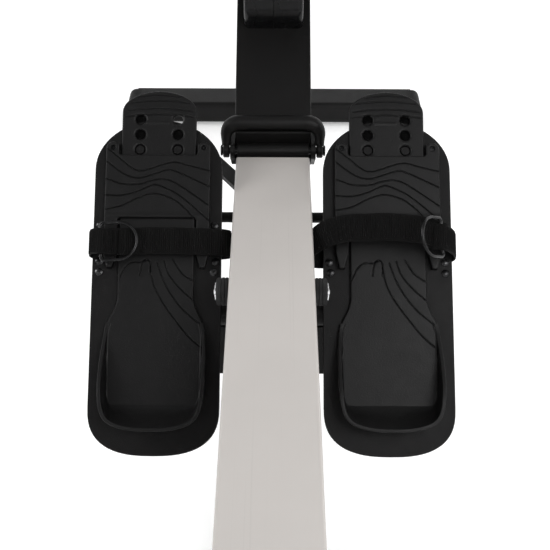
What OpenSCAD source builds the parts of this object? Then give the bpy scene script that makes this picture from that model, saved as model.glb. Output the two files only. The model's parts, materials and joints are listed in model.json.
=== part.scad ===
// Folding magnetic rowing machine.
// +X is to the rower's right, +Y towards the flywheel, +Z up. The origin is on the floor, under the middle of
// the machine's box. Most modules work from the rail's front top edge, which from_rail() places.

/* [Rail] */
// Height of the rail's top face above the floor
rail_top = 350; // [345:1:355]
// Length of the rail beam
rail_len = 1400; // [1390:1:1410]
// Width of the rail beam
rail_w = 80; // [78:1:80]
// Depth of the rail beam
rail_h = 50; // [46:1:50]
// Wall of the steel tubes
wall = 3; // [2.5:0.5:3]

/* [Mast] */
// Slope of the mast and of the beam below it
mast_slope = 33; // [32:1:34]
// Width of the mast
mast_w = 84; // [83:1:85]
// Depth of the mast
mast_d = 60; // [60:1:60]
// Width of the main beam
beam_w = 70; // [64:1:72]
// Depth of the main beam
beam_d = 50; // [45:1:52]

/* [Stabilizers] */
// Distance from the rail's front end to the front stabilizer's middle
front_stab_y = 668; // [660:1:676]
// Width of the front stabilizer
front_stab_w = 533; // [520:1:545]
// Width of the mid stabilizer
mid_stab_w = 400; // [380:1:420]
// Width of the rear stabilizer
rear_stab_w = 420; // [400:1:440]
// Front to back size of a stabilizer tube
stab_d = 65; // [60:1:66]
// Height of a stabilizer tube
stab_h = 40; // [38:1:42]
// Gap between a stabilizer tube and the floor
stab_gap = 10; // [8:1:12]

/* [Footplates] */
// Slope of the footplates
plate_slope = 41; // [41:1:41]
// Distance of a footplate's centreline from the machine's middle
plate_x = 117; // [116:1:119]
// Width of a footplate
plate_w = 130; // [128:1:131]
// Depth of a base plate's rim
plate_rim = 12; // [11:1:12]
// Thickness of a heel rest
rest_t = 4; // [4:1:4]
// Travel of a heel rest between its first and last holes
rest_travel = 32; // [32:1:32]
// Width of the webbing foot straps
strap_w = 31; // [29:1:32]

/* [Drive] */
// Radius of the housing
housing_r = 200; // [198:1:204]
// Width of the housing
housing_w = 124; // [120:1:128]
// Radius of the flywheel
flywheel_r = 120; // [116:1:121]
// Radius of the drive pulley's belt line
pulley_r = 42; // [40:1:42]
// Radius of the flywheel's belt pulley
small_pulley_r = 17; // [16:1:18]

/* [Seat] */
// Width of the seat cushion
seat_w = 320; // [300:1:330]
// Length of the seat cushion
seat_l = 250; // [240:1:260]
// Height of the seat cushion
seat_h = 54; // [48:1:56]
// Distance of the seat's middle behind the rail's front end, at rest
seat_y = 800; // [780:1:820]

/* [Handle] */
// Width of the handle
handle_w = 460; // [440:1:480]
// Radius of the handle tube
handle_r = 12.5; // [12:0.5:12.5]

/* [Hidden] */
$fn = 48;
eps = 0.01;
big = 3000;

black = [0.10, 0.10, 0.10];
dark = [0.16, 0.16, 0.17];
steel = [0.72, 0.72, 0.74];
greige = [0.76, 0.74, 0.72];

fit = 0.05;  // radial clearance of a running fit
rail_floor = -rail_top;
end_cap_t = 8;

// transport wheels, in front of the front stabilizer
wheel_r = 28;
wheel_w = 16;
wheel_x = 40;
wheel_lift = 6;
wheel_axle_r = 4;
wheel_gap = 3;
wheel_y = front_stab_y + stab_d / 2 + wheel_gap + wheel_r;
wheel_z = rail_floor + wheel_lift + wheel_r;

// the rail's front end lies this far ahead of the origin
ref_y = (rail_len + end_cap_t - wheel_y - wheel_r) / 2;

// rail hinge
hinge_y = 17;
hinge_z = -2;
hinge_pin_r = 4;
barrel_r = 8;
ear_t = 5;
ear_x = mast_w / 2;
bail_x = 51.3;

// the mast's top face starts here, and its lower end is cut plumb
mast_y = 17;
mast_z = 9.5;
mast_end_y = 26;
mast_len = 300;

// footplate frame: the point that plate_slope turns about, and its outline
plate_y = -151.5;
plate_z = -59.6;
plate_back = -165.4;
plate_front = 177;
plate_arc = 52;
plate_corner = 48;
peg_x = 19.3;
peg_s = 144.6;
peg_r = 4.2;
hole_r = 5.15;
hole_pitch = rest_travel / 2;
rest_half = 38.3;
cup_half = 50.5;
cup_back = -142;
cup_h = 30;
cup_wall = 3.5;
panel_half = 53.5;
panel_t = 3.2;
skin = 4;
screw_x = 46.4;
screw_s = 145.7;
strap_s = 51;
lift = 0.3;  // gap between two faces that slide past each other
tube_r = 12.5;
tube_y = plate_y + 1.4;
tube_z = plate_z - 33.2;
rod_r = 6;
rod_y = 1;
rod_z = -82;

// drive, on the line of the mast's middle
housing_y = 436;
housing_z = 246;
shell_t = 3;
flywheel_y = 470;
flywheel_z = 268;
reel_y = 315;
reel_z = 190;
reel_r = 30;
shaft_r = 6;
plate_in = 34.5;  // inner face of the drive frame's side plates
plate_gauge = 4;
belt_t = 2;
belt_w = 12;
belt_x = 16;
brake_y = flywheel_y + 96;
brake_z = flywheel_z + 92;
brake_r = 5;

// strap cover, from its nose upwards, in the mast's frame
cover_y = 140.7;
cover_half = 33.4;
cover_end = 262;
roller_y = 196;
roller_z = 42;
roller_r = 10;

// handle at rest
hold_y = 118;
hold_z = 172;

// console
console_y = 268;
console_z = 625;
console_lean = 55;
console_w = 190;
console_h = 120;
console_t = 30;
console_pin_r = 5;

// seat carriage
roller_seat_r = 15;
axle_y = 55;
carriage_half = 90;
carriage_x = 46;
carriage_top = 38;
stop_y = 200;
stop_z = -20;
stop_r = 13.4;
stop_half = 54.4;

module from_rail() { translate([0, ref_y, rail_top]) children(); }
module from_mast() { from_rail() translate([0, mast_y, mast_z]) rotate([mast_slope, 0, 0]) children(); }
module from_plate(side) {
    from_rail() translate([side * plate_x, plate_y, plate_z]) rotate([plate_slope, 0, 0]) children();
}
module from_console() {
    from_rail() translate([0, console_y, console_z]) rotate([console_lean, 0, 0]) children();
}

// a box from its low corner to its high corner
module block(low, high) { translate(low) cube(high - low); }
// a cylinder along X from x0 to x1
module rod(x0, x1, r) { translate([x0, 0, 0]) rotate([0, 90, 0]) cylinder(h = x1 - x0, r = r); }
// a side outline in Y and Z, extruded in X from x0 to x1
module side_plate(x0, x1) {
    translate([x0, 0, 0]) rotate([90, 0, 90]) linear_extrude(x1 - x0) children();
}
module both_sides() {
    children();
    mirror([1, 0, 0]) children();
}

// corner points of a rectangle with round corners
function round_box(x0, y0, x1, y1, r) = [
    for (c = [[x1 - r, y1 - r, 0], [x0 + r, y1 - r, 90], [x0 + r, y0 + r, 180], [x1 - r, y0 + r, 270]])
        for (k = [0 : 8]) [c[0] + r * cos(c[2] + k * 90 / 8), c[1] + r * sin(c[2] + k * 90 / 8)]
];
function flip(points) = [for (k = [len(points) - 1 : -1 : 0]) [-points[k][0], points[k][1]]];
// points of a quarter or half ellipse
function oval(cx, cy, a, b, from, to, n) = [
    for (k = [0 : n]) let(t = from + (to - from) * k / n) [cx + a * cos(t), cy + b * sin(t)]
];
// the belt's outline round two pulleys of radius ra and rb, the second at distance d and angle turn
function belt_line(ra, rb, d, turn) = let(tilt = acos((ra - rb) / d)) concat(
    oval(0, 0, ra, ra, turn + tilt, turn + 360 - tilt, 24),
    oval(d * cos(turn), d * sin(turn), rb, rb, turn - tilt, turn + tilt, 16)
);

// ---- frame ----

module main_beam() {
    foot_z = rail_floor + stab_gap + stab_h;
    color(dark) {
        difference() {
            from_mast() difference() {
                block([-beam_w / 2, -560, -mast_d - beam_d], [beam_w / 2, 200, -mast_d]);
                block([-beam_w / 2 + wall, -561, -mast_d - beam_d + wall], [beam_w / 2 - wall, 201, -mast_d - wall]);
            }
            from_rail() block([-big, -big, foot_z - big], [big, big, foot_z]);
            from_rail() translate([0, rod_y, rod_z]) rod(-60, 60, rod_r);
            from_rail() translate([0, lever_y, lever_z]) rod(-60, 0, lever_pin_r);
        }
        stabilizer(-332, mid_stab_w);
    }
}

// a stabilizer tube across the machine, with its middle at y
module stabilizer(y, w) {
    from_rail() translate([0, y, rail_floor + stab_gap]) difference() {
        side_plate(-w / 2 + cap_w, w / 2 - cap_w)
            polygon(round_box(-stab_d / 2, 0, stab_d / 2, stab_h, stab_round));
        side_plate(-w / 2, w / 2)
            polygon(round_box(-stab_d / 2 + wall, wall, stab_d / 2 - wall, stab_h - wall, stab_round - wall));
    }
}
cap_w = 16;
stab_round = 9;

// two plastic caps that close a stabilizer and stand on the floor
module end_caps(y, w) {
    from_rail() translate([0, y, rail_floor]) both_sides() difference() {
        side_plate(w / 2 - cap_w, w / 2)
            polygon(round_box(-stab_d / 2, 0, stab_d / 2, stab_gap + stab_h, stab_round));
        side_plate(w / 2 - cap_w - eps, w / 2 - wall)
            polygon(round_box(-stab_d / 2 + wall, wall, stab_d / 2 - wall, stab_gap + stab_h - wall, stab_round - wall));
    }
}

module mast() {
    color(black) difference() {
        from_mast() block([-mast_w / 2, -80, -mast_d], [mast_w / 2, mast_len, 0]);
        intersection() {
            from_mast() block([-mast_w / 2 + wall, -80, -mast_d + wall], [mast_w / 2 - wall, mast_len + 1, -wall]);
            from_rail() block([-big, mast_end_y + wall, -big], [big, big, big]);
        }
        from_rail() block([-big, -big, -big], [big, mast_end_y, big]);
        from_rail() translate([0, hinge_y, hinge_z]) rod(-60, 60, barrel_r + 1);
    }
}

module front_leg() {
    foot = [front_stab_y, rail_floor + stab_gap + stab_h];
    head = [520, 150];
    lean = atan2(head[0] - foot[0], head[1] - foot[1]);
    reach = norm(head - foot);
    color(black) difference() {
        from_rail() translate([0, foot[0], foot[1]]) rotate([-lean, 0, 0]) difference() {
            block([-30, -25, -30], [30, 25, reach]);
            block([-30 + wall, -25 + wall, -31], [30 - wall, 25 - wall, reach + 1]);
        }
        from_rail() block([-big, -big, foot[1] - big], [big, big, foot[1]]);
    }
}

module front_stabilizer() { color(dark) stabilizer(front_stab_y, front_stab_w); }

module frame_end_caps() {
    color(black) {
        end_caps(front_stab_y, front_stab_w);
        end_caps(-332, mid_stab_w);
    }
}

module hinge_ears() {
    color(black) from_rail() both_sides() difference() {
        side_plate(ear_x, ear_x + ear_t) polygon(concat(
            oval(hinge_y, hinge_z, 10, 10, 110, 250, 16),
            [[38, -34], [62, -22], [62, 4], [40, 6]]
        ));
        translate([0, hinge_y, hinge_z]) rod(0, 60, hinge_pin_r);
    }
}

module hinge_pin() {
    color(steel) from_rail() translate([0, hinge_y, hinge_z]) {
        rod(-55.4, 55.4, hinge_pin_r);
        both_sides() rod(55.4, 57.6, hinge_pin_r + 1.8);
    }
}

module wheel_bracket() {
    front = front_stab_y + stab_d / 2;
    color(black) from_rail() {
        both_sides() side_plate(wheel_x - wheel_w / 2 - 6, wheel_x - wheel_w / 2 - 3)
            polygon(concat([[front, wheel_z - 8], [front, wheel_z + 12]], oval(wheel_y, wheel_z, 9, 9, 90, -90, 12)));
    }
    color(steel) from_rail() translate([0, wheel_y, wheel_z]) rod(-wheel_x - wheel_w / 2 - 3, wheel_x + wheel_w / 2 + 3, wheel_axle_r);
}

module transport_wheels() {
    color(dark) from_rail() translate([0, wheel_y, wheel_z]) both_sides() difference() {
        rod(wheel_x - wheel_w / 2, wheel_x + wheel_w / 2, wheel_r);
        rod(0, 80, wheel_axle_r + fit);
        both_sides() rotate([0, 90, 0]) translate([0, 0, wheel_x + wheel_w / 2 - 3]) difference() {
            cylinder(h = 5, r = wheel_r - 6);
            cylinder(h = 5, r = wheel_axle_r + 5);
        }
    }
}

// ---- footplates ----

module cross_tube() {
    color(dark) from_rail() translate([0, tube_y, tube_z]) difference() {
        rod(-172, 172, tube_r);
        rod(-173, 173, tube_r - wall);
    }
}

// stands on the beam and carries the cross tube
module footplate_saddle() {
    top = tube_z - tube_r;
    color(dark) difference() {
        from_rail() block([-64, tube_y - 7, top - 90], [64, tube_y + 30, top]);
        from_rail() block([-61, tube_y - 4, top - 91], [61, tube_y + 27, top - wall]);
        from_mast() block([-big, -big, -mast_d - 400], [big, big, -mast_d]);
    }
}

module support_rod() {
    strut_x = 130;
    color(dark) {
        from_rail() translate([0, rod_y, rod_z]) rod(-strut_x - 4, strut_x + 4, rod_r);
        for (side = [-1, 1]) from_plate(side) translate([side * (strut_x - plate_x), 0, 0])
            block([-3, 88, -122], [3, 112, -skin - lift]);
    }
}

function plate_outline(inset) = let(half = plate_w / 2 - inset) concat(
    oval(0, plate_front - plate_arc, half, plate_arc - inset, 0, 180, 32),
    [for (a = [0:6:180]) let(c = cos(a), s = sin(a)) [
        -sign(c) * half * pow(abs(c), 0.77),
        plate_back + inset + plate_corner - plate_corner * pow(abs(s), 0.77)
    ]]
);

module base_plate(side) {
    color(black) from_plate(side) {
        difference() {
            translate([0, 0, -plate_rim]) linear_extrude(plate_rim) polygon(plate_outline(0));
            translate([0, 0, -plate_rim - 1]) linear_extrude(plate_rim + 1 - skin) polygon(plate_outline(3));
            for (x = [-1, 1], s = [17.5, 28.5, 65.7]) translate([x * 58, s, -20]) cylinder(h = 30, r = 2.6);
        }
        for (x = [-1, 1]) translate([x * peg_x, peg_s, -1]) cylinder(h = 1 + rest_t - 1, r = peg_r);
    }
}

// bridges the heel rest, which slides beneath it
module toe_panel(side) {
    under = rest_t + 2 * lift;
    lug_s = 20;
    color(dark) from_plate(side) difference() {
        linear_extrude(under + panel_t) polygon([
            [-panel_half, 137.7], [-panel_half, 152], [-rest_half - 1.5, 152], [-rest_half - 1.5, 137.7],
            [rest_half + 1.5, 137.7], [rest_half + 1.5, 152], [panel_half, 152], [panel_half, 137.7],
            [panel_half, lug_s + 16], [panel_half - 4, lug_s], [rest_half + 5, lug_s], [rest_half + 1.5, lug_s + 16],
            [rest_half + 1.5, 72], [-rest_half - 1.5, 72],
            [-rest_half - 1.5, lug_s + 16], [-rest_half - 5, lug_s], [-panel_half + 4, lug_s], [-panel_half, lug_s + 16]
        ]);
        block([-rest_half - 1, 0, -1], [rest_half + 1, 200, under]);
        for (x = [-1, 1]) translate([x * screw_x, screw_s, 3]) cylinder(h = 20, r = 4.6);
        for (x = [-1, 1]) translate([x * screw_x, screw_s, -1]) cylinder(h = 20, r = 1.8);
    }
}

module toe_panels() {
    toe_panel(-1);
    toe_panel(1);
}

module pan_screw(head_r, head_h, shank_r, shank_l) {
    difference() {
        union() {
            cylinder(h = head_h, r = head_r);
            translate([0, 0, -shank_l]) cylinder(h = shank_l, r = shank_r);
        }
        for (a = [0, 90]) rotate([0, 0, a]) block([-head_r * 0.6, -0.5, head_h - 1], [head_r * 0.6, 0.5, head_h + 1]);
    }
}

// pan-head screws: four hold the toe panels, six close the housing
module screws() {
    color(steel) {
        for (side = [-1, 1]) from_plate(side) for (x = [-1, 1])
            translate([x * screw_x, screw_s, 3]) pan_screw(4, 2.4, 1.7, 3);
        from_rail() for (x = [-1, 1], k = [0 : 2])
            translate([x * housing_w / 2, housing_y, housing_z]) rotate([20 + k * 120, 0, 0])
                translate([0, housing_r - 18, 0]) rotate([0, x * 90, 0]) pan_screw(5, 2.5, 2, shell_t);
    }
}

// half outline of a heel rest, from the tab's tip down to the middle of the heel
function rest_half_line() = concat(
    oval(0, 185, rest_half, 22, 90, 0, 16),
    [for (k = [0 : 10]) [rest_half + (cup_half - rest_half) * (1 - cos(k * 18)) / 2, -8 - 38 * k / 10]],
    oval(cup_half - 20, cup_back + 24, 20, 20, 0, -60, 6),
    [[0, cup_back]]
);
function rest_outline() = concat(rest_half_line(), flip(rest_half_line()));

module heel_rest(side) {
    k = (cup_half - cup_wall) / cup_half;
    color(dark) from_plate(side) {
        difference() {
            translate([0, 0, lift]) linear_extrude(rest_t) polygon(rest_outline());
            for (x = [-1, 1]) {
                block([x * peg_x - peg_r - 0.4, peg_s - peg_r - 0.5, -1],
                      [x * peg_x + peg_r + 0.4, peg_s + rest_travel + peg_r + 0.5, rest_t - 0.7]);
                for (n = [0 : 2]) translate([x * peg_x, peg_s + n * hole_pitch, -1]) cylinder(h = 9, r = hole_r);
            }
        }
        intersection() {
            translate([0, 0, rest_t]) linear_extrude(cup_h) difference() {
                polygon(rest_outline());
                translate([0, -1.5]) scale([k, k]) polygon(rest_outline());
            }
            side_plate(-80, 80) polygon([[-46, rest_t - 1], [-46, rest_t + 2], [-115, cup_h], [-160, cup_h], [-160, rest_t - 1]]);
        }
    }
}

// a webbing band round a base plate; rise is the height of its top above the plate
module foot_strap(side, rise) {
    half = plate_w / 2 + 4.5;
    t = 3;
    low = -plate_rim - 5;
    function band(off) = concat(
        oval(0, 3, half + off, rise - 3 + off, 0, 180, 24),
        oval(-half + 8, low + 8, 8 + off, 8 + off, 180, 270, 6),
        oval(half - 8, low + 8, 8 + off, 8 + off, 270, 360, 6)
    );
    color(black) from_plate(side) translate([0, strap_s + strap_w / 2, 0]) rotate([90, 0, 0])
        linear_extrude(strap_w) difference() {
            polygon(band(t));
            polygon(band(0));
        }
}

ring_wire = 1.9;
ring_half = 19;
ring_out = 17;
// a D-ring: a straight bar along the plate and a half loop, at height h above the plate, its loop raised by tilt
module strap_ring(side, x, s, h, tilt) {
    color(steel) from_plate(side) translate([x, s, h]) rotate([0, -tilt, 0]) {
        rotate([90, 0, 0]) cylinder(h = 2 * ring_half, r = ring_wire, center = true);
        for (k = [-1, 1]) translate([0, k * ring_half, 0]) {
            sphere(r = ring_wire);
            rotate([0, 90, 0]) cylinder(h = ring_out, r = ring_wire);
        }
        translate([ring_out, 0, 0]) rotate([0, 0, -90]) rotate_extrude(angle = 180) translate([ring_half, 0]) circle(r = ring_wire);
    }
}

// ---- strap cover, roller, handle ----

// side outline of the strap cover on the mast, with its inner line set in by t
function cover_line(t) = [
    [cover_y + t, -t * 2], [cover_y + 1 + t, 14], [cover_y + 5 + t, 24 - t], [cover_y + 30 + t / 2, 44 - t],
    [cover_y + 60, 62 - t], [cover_end + t, 66 - t], [cover_end + t, -t * 2]
];
module strap_cover(side) {
    color(black) difference() {
        from_mast() scale([side, 1, 1]) difference() {
            side_plate(0, cover_half) polygon(cover_line(0));
            side_plate(-1, cover_half - shell_t) polygon(cover_line(shell_t));
            block([-1, cover_y + 24, 34], [16, cover_y + 66, 70]);
            translate([0, roller_y, roller_z]) rod(-1, cover_half - 1.5, 3 + fit);
        }
        from_rail() translate([0, housing_y, housing_z]) rod(-100, 100, housing_r + 0.2);
    }
}

module strap_roller() {
    color(steel) from_mast() translate([0, roller_y, roller_z]) {
        rod(-18, 18, roller_r);
        rod(-cover_half + 1.7, cover_half - 1.7, 3);
    }
}

// two ledges beside the strap cover that the handle rests on
module handle_rest() {
    ledge = hold_z - handle_r - 0.4;
    color(black) from_rail() both_sides() side_plate(cover_half, cover_half + 8) polygon([
        [hold_y - 18, ledge - 8], [hold_y - 18, ledge], [hold_y + handle_r + 1, ledge], [hold_y + handle_r + 1, ledge + 26],
        [hold_y + 24, ledge + 30], [hold_y + 60, ledge + 10], [hold_y + 60, ledge - 14], [hold_y + 36, ledge - 30]
    ]);
}

module handle_bar() {
    color(steel) from_rail() translate([0, hold_y, hold_z]) difference() {
        rod(-handle_w / 2 + 5, handle_w / 2 - 5, handle_r);
        rod(-handle_w / 2, handle_w / 2, handle_r - 2);
    }
}

module handle_grips() {
    color(black) from_rail() translate([0, hold_y, hold_z]) both_sides() difference() {
        union() {
            rod(70, handle_w / 2 - 4, handle_r + 4.5);
            rod(handle_w / 2 - 4, handle_w / 2, handle_r + 1.5);
        }
        rod(69, handle_w / 2 - 5, handle_r);
    }
}

module handle_yoke() {
    color(black) from_rail() translate([0, hold_y, hold_z]) difference() {
        union() {
            rod(-16, 16, handle_r + 4);
            block([-16, 0, -4], [16, 24, 4]);
        }
        rod(-17, 17, handle_r);
        block([-13, 15, -5], [13, 19, 5]);
    }
}

module pull_strap() {
    color(black) from_rail() translate([0, hold_y, hold_z]) block([-12, 24, -1], [12, 32, 1]);
}

// ---- housing and drive ----

module housing_shape(inset) {
    circle(r = housing_r - inset, $fn = 96);
}
module housing_half(side) {
    color(dark) difference() {
        from_rail() translate([0, housing_y, housing_z]) scale([side, 1, 1]) difference() {
            union() {
                side_plate(0, housing_w / 2 - 12) housing_shape(0);
                translate([housing_w / 2 - 12, 0, 0]) rotate([0, 90, 0]) cylinder(h = 12, r1 = housing_r, r2 = housing_r - 16, $fn = 96);
            }
            side_plate(-1, housing_w / 2 - 14) housing_shape(shell_t);
            side_plate(-1, housing_w / 2 - shell_t) housing_shape(20);
        }
        from_mast() block([-mast_w / 2 - 0.2, 0, -mast_d - 0.2], [mast_w / 2 + 0.2, mast_len + 80, 0.2]);
        from_mast() block([-22, 200, -1], [22, 330, 56]);
        from_rail() block([-30.2, 470, 0], [30.2, 580, 150]);
        from_rail() translate([0, knob_y, knob_z]) rotate([45, 0, 0]) cylinder(h = 60, r = 6.3, center = true);
        from_rail() for (k = [0 : 2]) translate([0, housing_y, housing_z]) rotate([20 + k * 120, 0, 0])
            translate([0, housing_r - 18, 0]) rod(-100, 100, 2);
    }
}
knob_y = housing_y - 0.7071 * housing_r;
knob_z = housing_z + 0.7071 * housing_r;

module drive_frame() {
    color(steel) from_rail() both_sides() difference() {
        side_plate(plate_in, plate_in + plate_gauge) polygon([
            [268, 132], [300, 212], [flywheel_y - 30, flywheel_z + 40], [brake_y + 12, brake_z + 12],
            [brake_y + 18, brake_z - 20], [flywheel_y + 60, flywheel_z - 60], [560, 120], [500, 108]
        ]);
        translate([0, flywheel_y, flywheel_z]) rod(0, 60, 13);
        translate([0, reel_y, reel_z]) rod(0, 60, 13);
        translate([0, brake_y, brake_z]) rod(0, 60, brake_r);
    }
}

module drive_shafts() {
    color(steel) from_rail() {
        translate([0, flywheel_y, flywheel_z]) rod(-44, 44, shaft_r);
        translate([0, reel_y, reel_z]) rod(-44, 44, shaft_r);
        translate([0, brake_y, brake_z]) rod(-42, 42, brake_r);
    }
}

module bearings() {
    color(steel) from_rail() for (c = [[flywheel_y, flywheel_z], [reel_y, reel_z]])
        translate([0, c[0], c[1]]) both_sides() difference() {
            rod(plate_in - 2, plate_in + plate_gauge + 1, 13);
            rod(0, 60, shaft_r);
        }
}

module flywheel() {
    color(steel) from_rail() translate([0, flywheel_y, flywheel_z]) difference() {
        union() {
            rod(-8, 8, flywheel_r);
            rod(-24, belt_x + belt_w + 2, small_pulley_r - 2);
            rod(belt_x, belt_x + belt_w, small_pulley_r);
            rod(belt_x + belt_w, belt_x + belt_w + 2, small_pulley_r + 4);
        }
        rod(-60, 60, shaft_r + fit);
        for (x = [-1, 1]) translate([x * 9, 0, 0]) rotate([0, 90, 0]) difference() {
            cylinder(h = 10, r = flywheel_r - 20, center = true);
            cylinder(h = 10, r = 26, center = true);
        }
    }
}

module drive_pulley() {
    color(black) from_rail() translate([0, reel_y, reel_z]) difference() {
        union() {
            rod(belt_x, belt_x + belt_w, pulley_r);
            rod(belt_x + belt_w, belt_x + belt_w + 2, pulley_r + 4);
        }
        rod(0, 60, shaft_r + fit);
    }
}

module drive_belt() {
    gap = 0.3;
    d = norm([flywheel_y - reel_y, flywheel_z - reel_z]);
    turn = atan2(flywheel_z - reel_z, flywheel_y - reel_y);
    color(black) from_rail() translate([0, reel_y, reel_z]) side_plate(belt_x + 1, belt_x + belt_w - 1) difference() {
        polygon(belt_line(pulley_r + gap + belt_t, small_pulley_r + gap + belt_t, d, turn));
        polygon(belt_line(pulley_r + gap, small_pulley_r + gap, d, turn));
    }
}

module strap_reel() {
    color(black) from_rail() translate([0, reel_y, reel_z]) difference() {
        union() {
            rod(-16, 14, reel_r);
            rod(-18, -15, pulley_r);
            rod(12, 15, pulley_r);
        }
        rod(-60, 60, shaft_r + fit);
    }
}

module return_spring() {
    color(steel) from_rail() translate([0, reel_y, reel_z]) difference() {
        rod(-32, -19, 36);
        rod(-33, -22, 33);
        rod(-60, 60, shaft_r + 0.5);
    }
}

// a channel that straddles the flywheel's rim, with its pivot at one end
module brake_arm() {
    pivot_turn = atan2(brake_z - flywheel_z, brake_y - flywheel_y);
    reach = norm([brake_y - flywheel_y, brake_z - flywheel_z]);
    color(dark) from_rail() difference() {
        union() {
            translate([0, flywheel_y, flywheel_z]) rotate([pivot_turn, 0, 0]) rotate([0, 90, 0]) rotate([0, 0, 90])
                rotate_extrude(angle = 70, $fn = 96) difference() {
                    translate([flywheel_r - 16, -14]) square([20, 28]);
                    translate([flywheel_r - 17, -10.5]) square([18.5, 21]);
                }
            translate([0, brake_y, brake_z]) rod(-33, 33, 9);
        }
        translate([0, brake_y, brake_z]) rod(-60, 60, brake_r + fit);
        translate([0, flywheel_y, flywheel_z]) rod(-10.5, 10.5, flywheel_r + 1.5);
    }
}

module tension_knob() {
    color(black) from_rail() translate([0, knob_y, knob_z]) rotate([45, 0, 0]) {
        translate([0, 0, 3]) difference() {
            cylinder(h = 24, r = 24);
            for (k = [0 : 11]) rotate([0, 0, k * 30]) translate([25.5, 0, 5]) cylinder(h = 30, r = 3);
        }
        translate([0, 0, -20]) cylinder(h = 24, r = 6);
    }
}

// ---- console ----

module console_arm() {
    root = [372, 436];
    drop = console_t + 10;
    head = [console_y + drop * sin(console_lean), console_z - drop * cos(console_lean)];
    lean = atan2(head[0] - root[0], head[1] - root[1]);
    color(black) difference() {
        union() {
            from_rail() translate([0, root[0], root[1]]) rotate([-lean, 0, 0])
                block([-15, -8, -20], [15, 8, norm(head - root) - 6]);
            from_console() translate([0, 0, -console_t - 10]) rod(-17, 17, 9);
        }
        from_console() translate([0, 0, -console_t - 10]) rod(-60, 60, console_pin_r);
        from_rail() translate([0, housing_y, housing_z]) rod(-100, 100, housing_r);
    }
}

module console_case() {
    color(dark) from_console() {
        difference() {
            translate([0, 0, -console_t]) linear_extrude(console_t)
                polygon(round_box(-console_w / 2, -console_h / 2, console_w / 2, console_h / 2, 14));
            block([-72, -22, -4], [72, 48, 1]);
            block([-console_w / 2 + 4, -console_h / 2 + 4, -console_t + 3], [console_w / 2 - 4, console_h / 2 - 4, -7]);
            for (x = [-40, 40]) translate([x, -41, -5]) cylinder(h = 6, r = 11.3);
        }
        translate([0, 0, -console_t - 10]) {
            both_sides() difference() {
                union() {
                    rod(17.4, 24, 11);
                    block([17.4, -11, 0], [24, 11, 12]);
                }
                rod(17, 25, console_pin_r);
            }
            rod(-26, 26, console_pin_r - fit);
        }
    }
}

module console_screen() { color([0.2, 0.25, 0.25]) from_console() block([-71.5, -21.5, -4], [71.5, 47.5, -0.5]); }

// a round button that stands 3 mm proud of the case
module console_button(x) { color(black) from_console() translate([x, -41, -2.5]) cylinder(h = 5.5, r = 11); }

// ---- bail and lever ----

module lock_bail() {
    bar_y = 27.5;
    bar_z = 27;
    bar_r = 8.5;
    leg_r = 5;
    eye_half = 3.5;
    leg_start = 14;
    turn = atan2(bar_z - hinge_z, bar_y - hinge_y);
    reach = norm([bar_y - hinge_y, bar_z - hinge_z]);
    color(black) from_rail() translate([0, hinge_y, hinge_z]) rotate([turn, 0, 0]) {
        translate([0, reach, 0]) rod(-bail_x + 2, bail_x - 2, bar_r);
        for (side = [-1, 1]) {
            translate([side * bail_x, leg_start, 0]) rotate([-90, 0, 0]) cylinder(h = reach - leg_start, r = leg_r);
            difference() {
                union() {
                    translate([side * bail_x, 0, 0]) rod(-eye_half, eye_half, bar_r);
                    translate([side * bail_x, 0, 0]) block([-eye_half, 0, -5], [eye_half, leg_start + 3, 5]);
                }
                rod(-60, 60, hinge_pin_r + fit);
            }
        }
    }
}

lever_y = 42;
lever_z = -62;
lever_pin_r = 4;
// a flat arm that pivots on the beam's left side and runs out to the front left
module release_lever() {
    arm_turn = 33;
    inner = beam_w / 2 + 0.6;
    color(dark) from_rail() translate([-inner, lever_y, lever_z]) {
        rod(-9, 0, 9);
        rod(0, 12, lever_pin_r - fit);
        translate([-6, 0, 0]) rotate([0, 0, arm_turn]) {
            block([-9, 3, -3], [9, 105, 3]);
            block([-9, -8, -3], [1, 4, 3]);
        }
    }
    color(black) from_rail() translate([-inner - 6, lever_y, lever_z]) rotate([0, 0, arm_turn])
        translate([0, 105, 0]) rotate([-90, 0, 0]) cylinder(h = 30, r = 10);
}

// ---- rail ----

module rail_beam() {
    color(greige) from_rail() difference() {
        translate([0, 0, -rail_h]) rotate([90, 0, 0]) linear_extrude(rail_len) difference() {
            polygon(round_box(-rail_w / 2, 0, rail_w / 2, rail_h, 2.5));
            polygon(round_box(-rail_w / 2 + wall, wall, rail_w / 2 - wall, rail_h - wall, 1));
        }
        translate([0, -stop_y, stop_z]) rod(-60, 60, 5);
        translate([0, -rail_len + 28, stop_z]) rod(-60, 60, 5);
    }
}

module rail_front_bracket() {
    color(black) from_rail() {
        block([-rail_w / 2 + wall + 0.2, -30, -rail_h + wall + 0.2], [rail_w / 2 - wall - 0.2, 0, -wall - 0.2]);
        block([-rail_w / 2 + 0.5, 0, -rail_h + 1], [rail_w / 2 - 0.5, hinge_y - barrel_r + 1, -1.5]);
        translate([0, hinge_y, hinge_z]) difference() {
            union() {
                rod(-39, 39, barrel_r);
                block([-39, -barrel_r, -barrel_r - 4], [39, -2, -2]);
            }
            rod(-60, 60, hinge_pin_r + fit);
        }
    }
}

module rail_end_cap() {
    color(black) from_rail() {
        translate([0, -rail_len, -rail_h]) rotate([90, 0, 0]) linear_extrude(end_cap_t)
            polygon(round_box(-rail_w / 2, 0, rail_w / 2, rail_h, 8));
        block([-rail_w / 2 + wall + 0.2, -rail_len, -rail_h + wall + 0.2], [rail_w / 2 - wall - 0.2, -rail_len + 20, -wall - 0.2]);
    }
}

rear_y = -1348;
module rear_leg() {
    color(black) {
        from_rail() difference() {
            block([-30, rear_y - 25, rail_floor + stab_gap + stab_h], [30, rear_y + 25, -rail_h]);
            block([-27, rear_y - 22, rail_floor + stab_gap + stab_h - 1], [27, rear_y + 22, -rail_h + 1]);
        }
        stabilizer(rear_y, rear_stab_w);
    }
}

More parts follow.
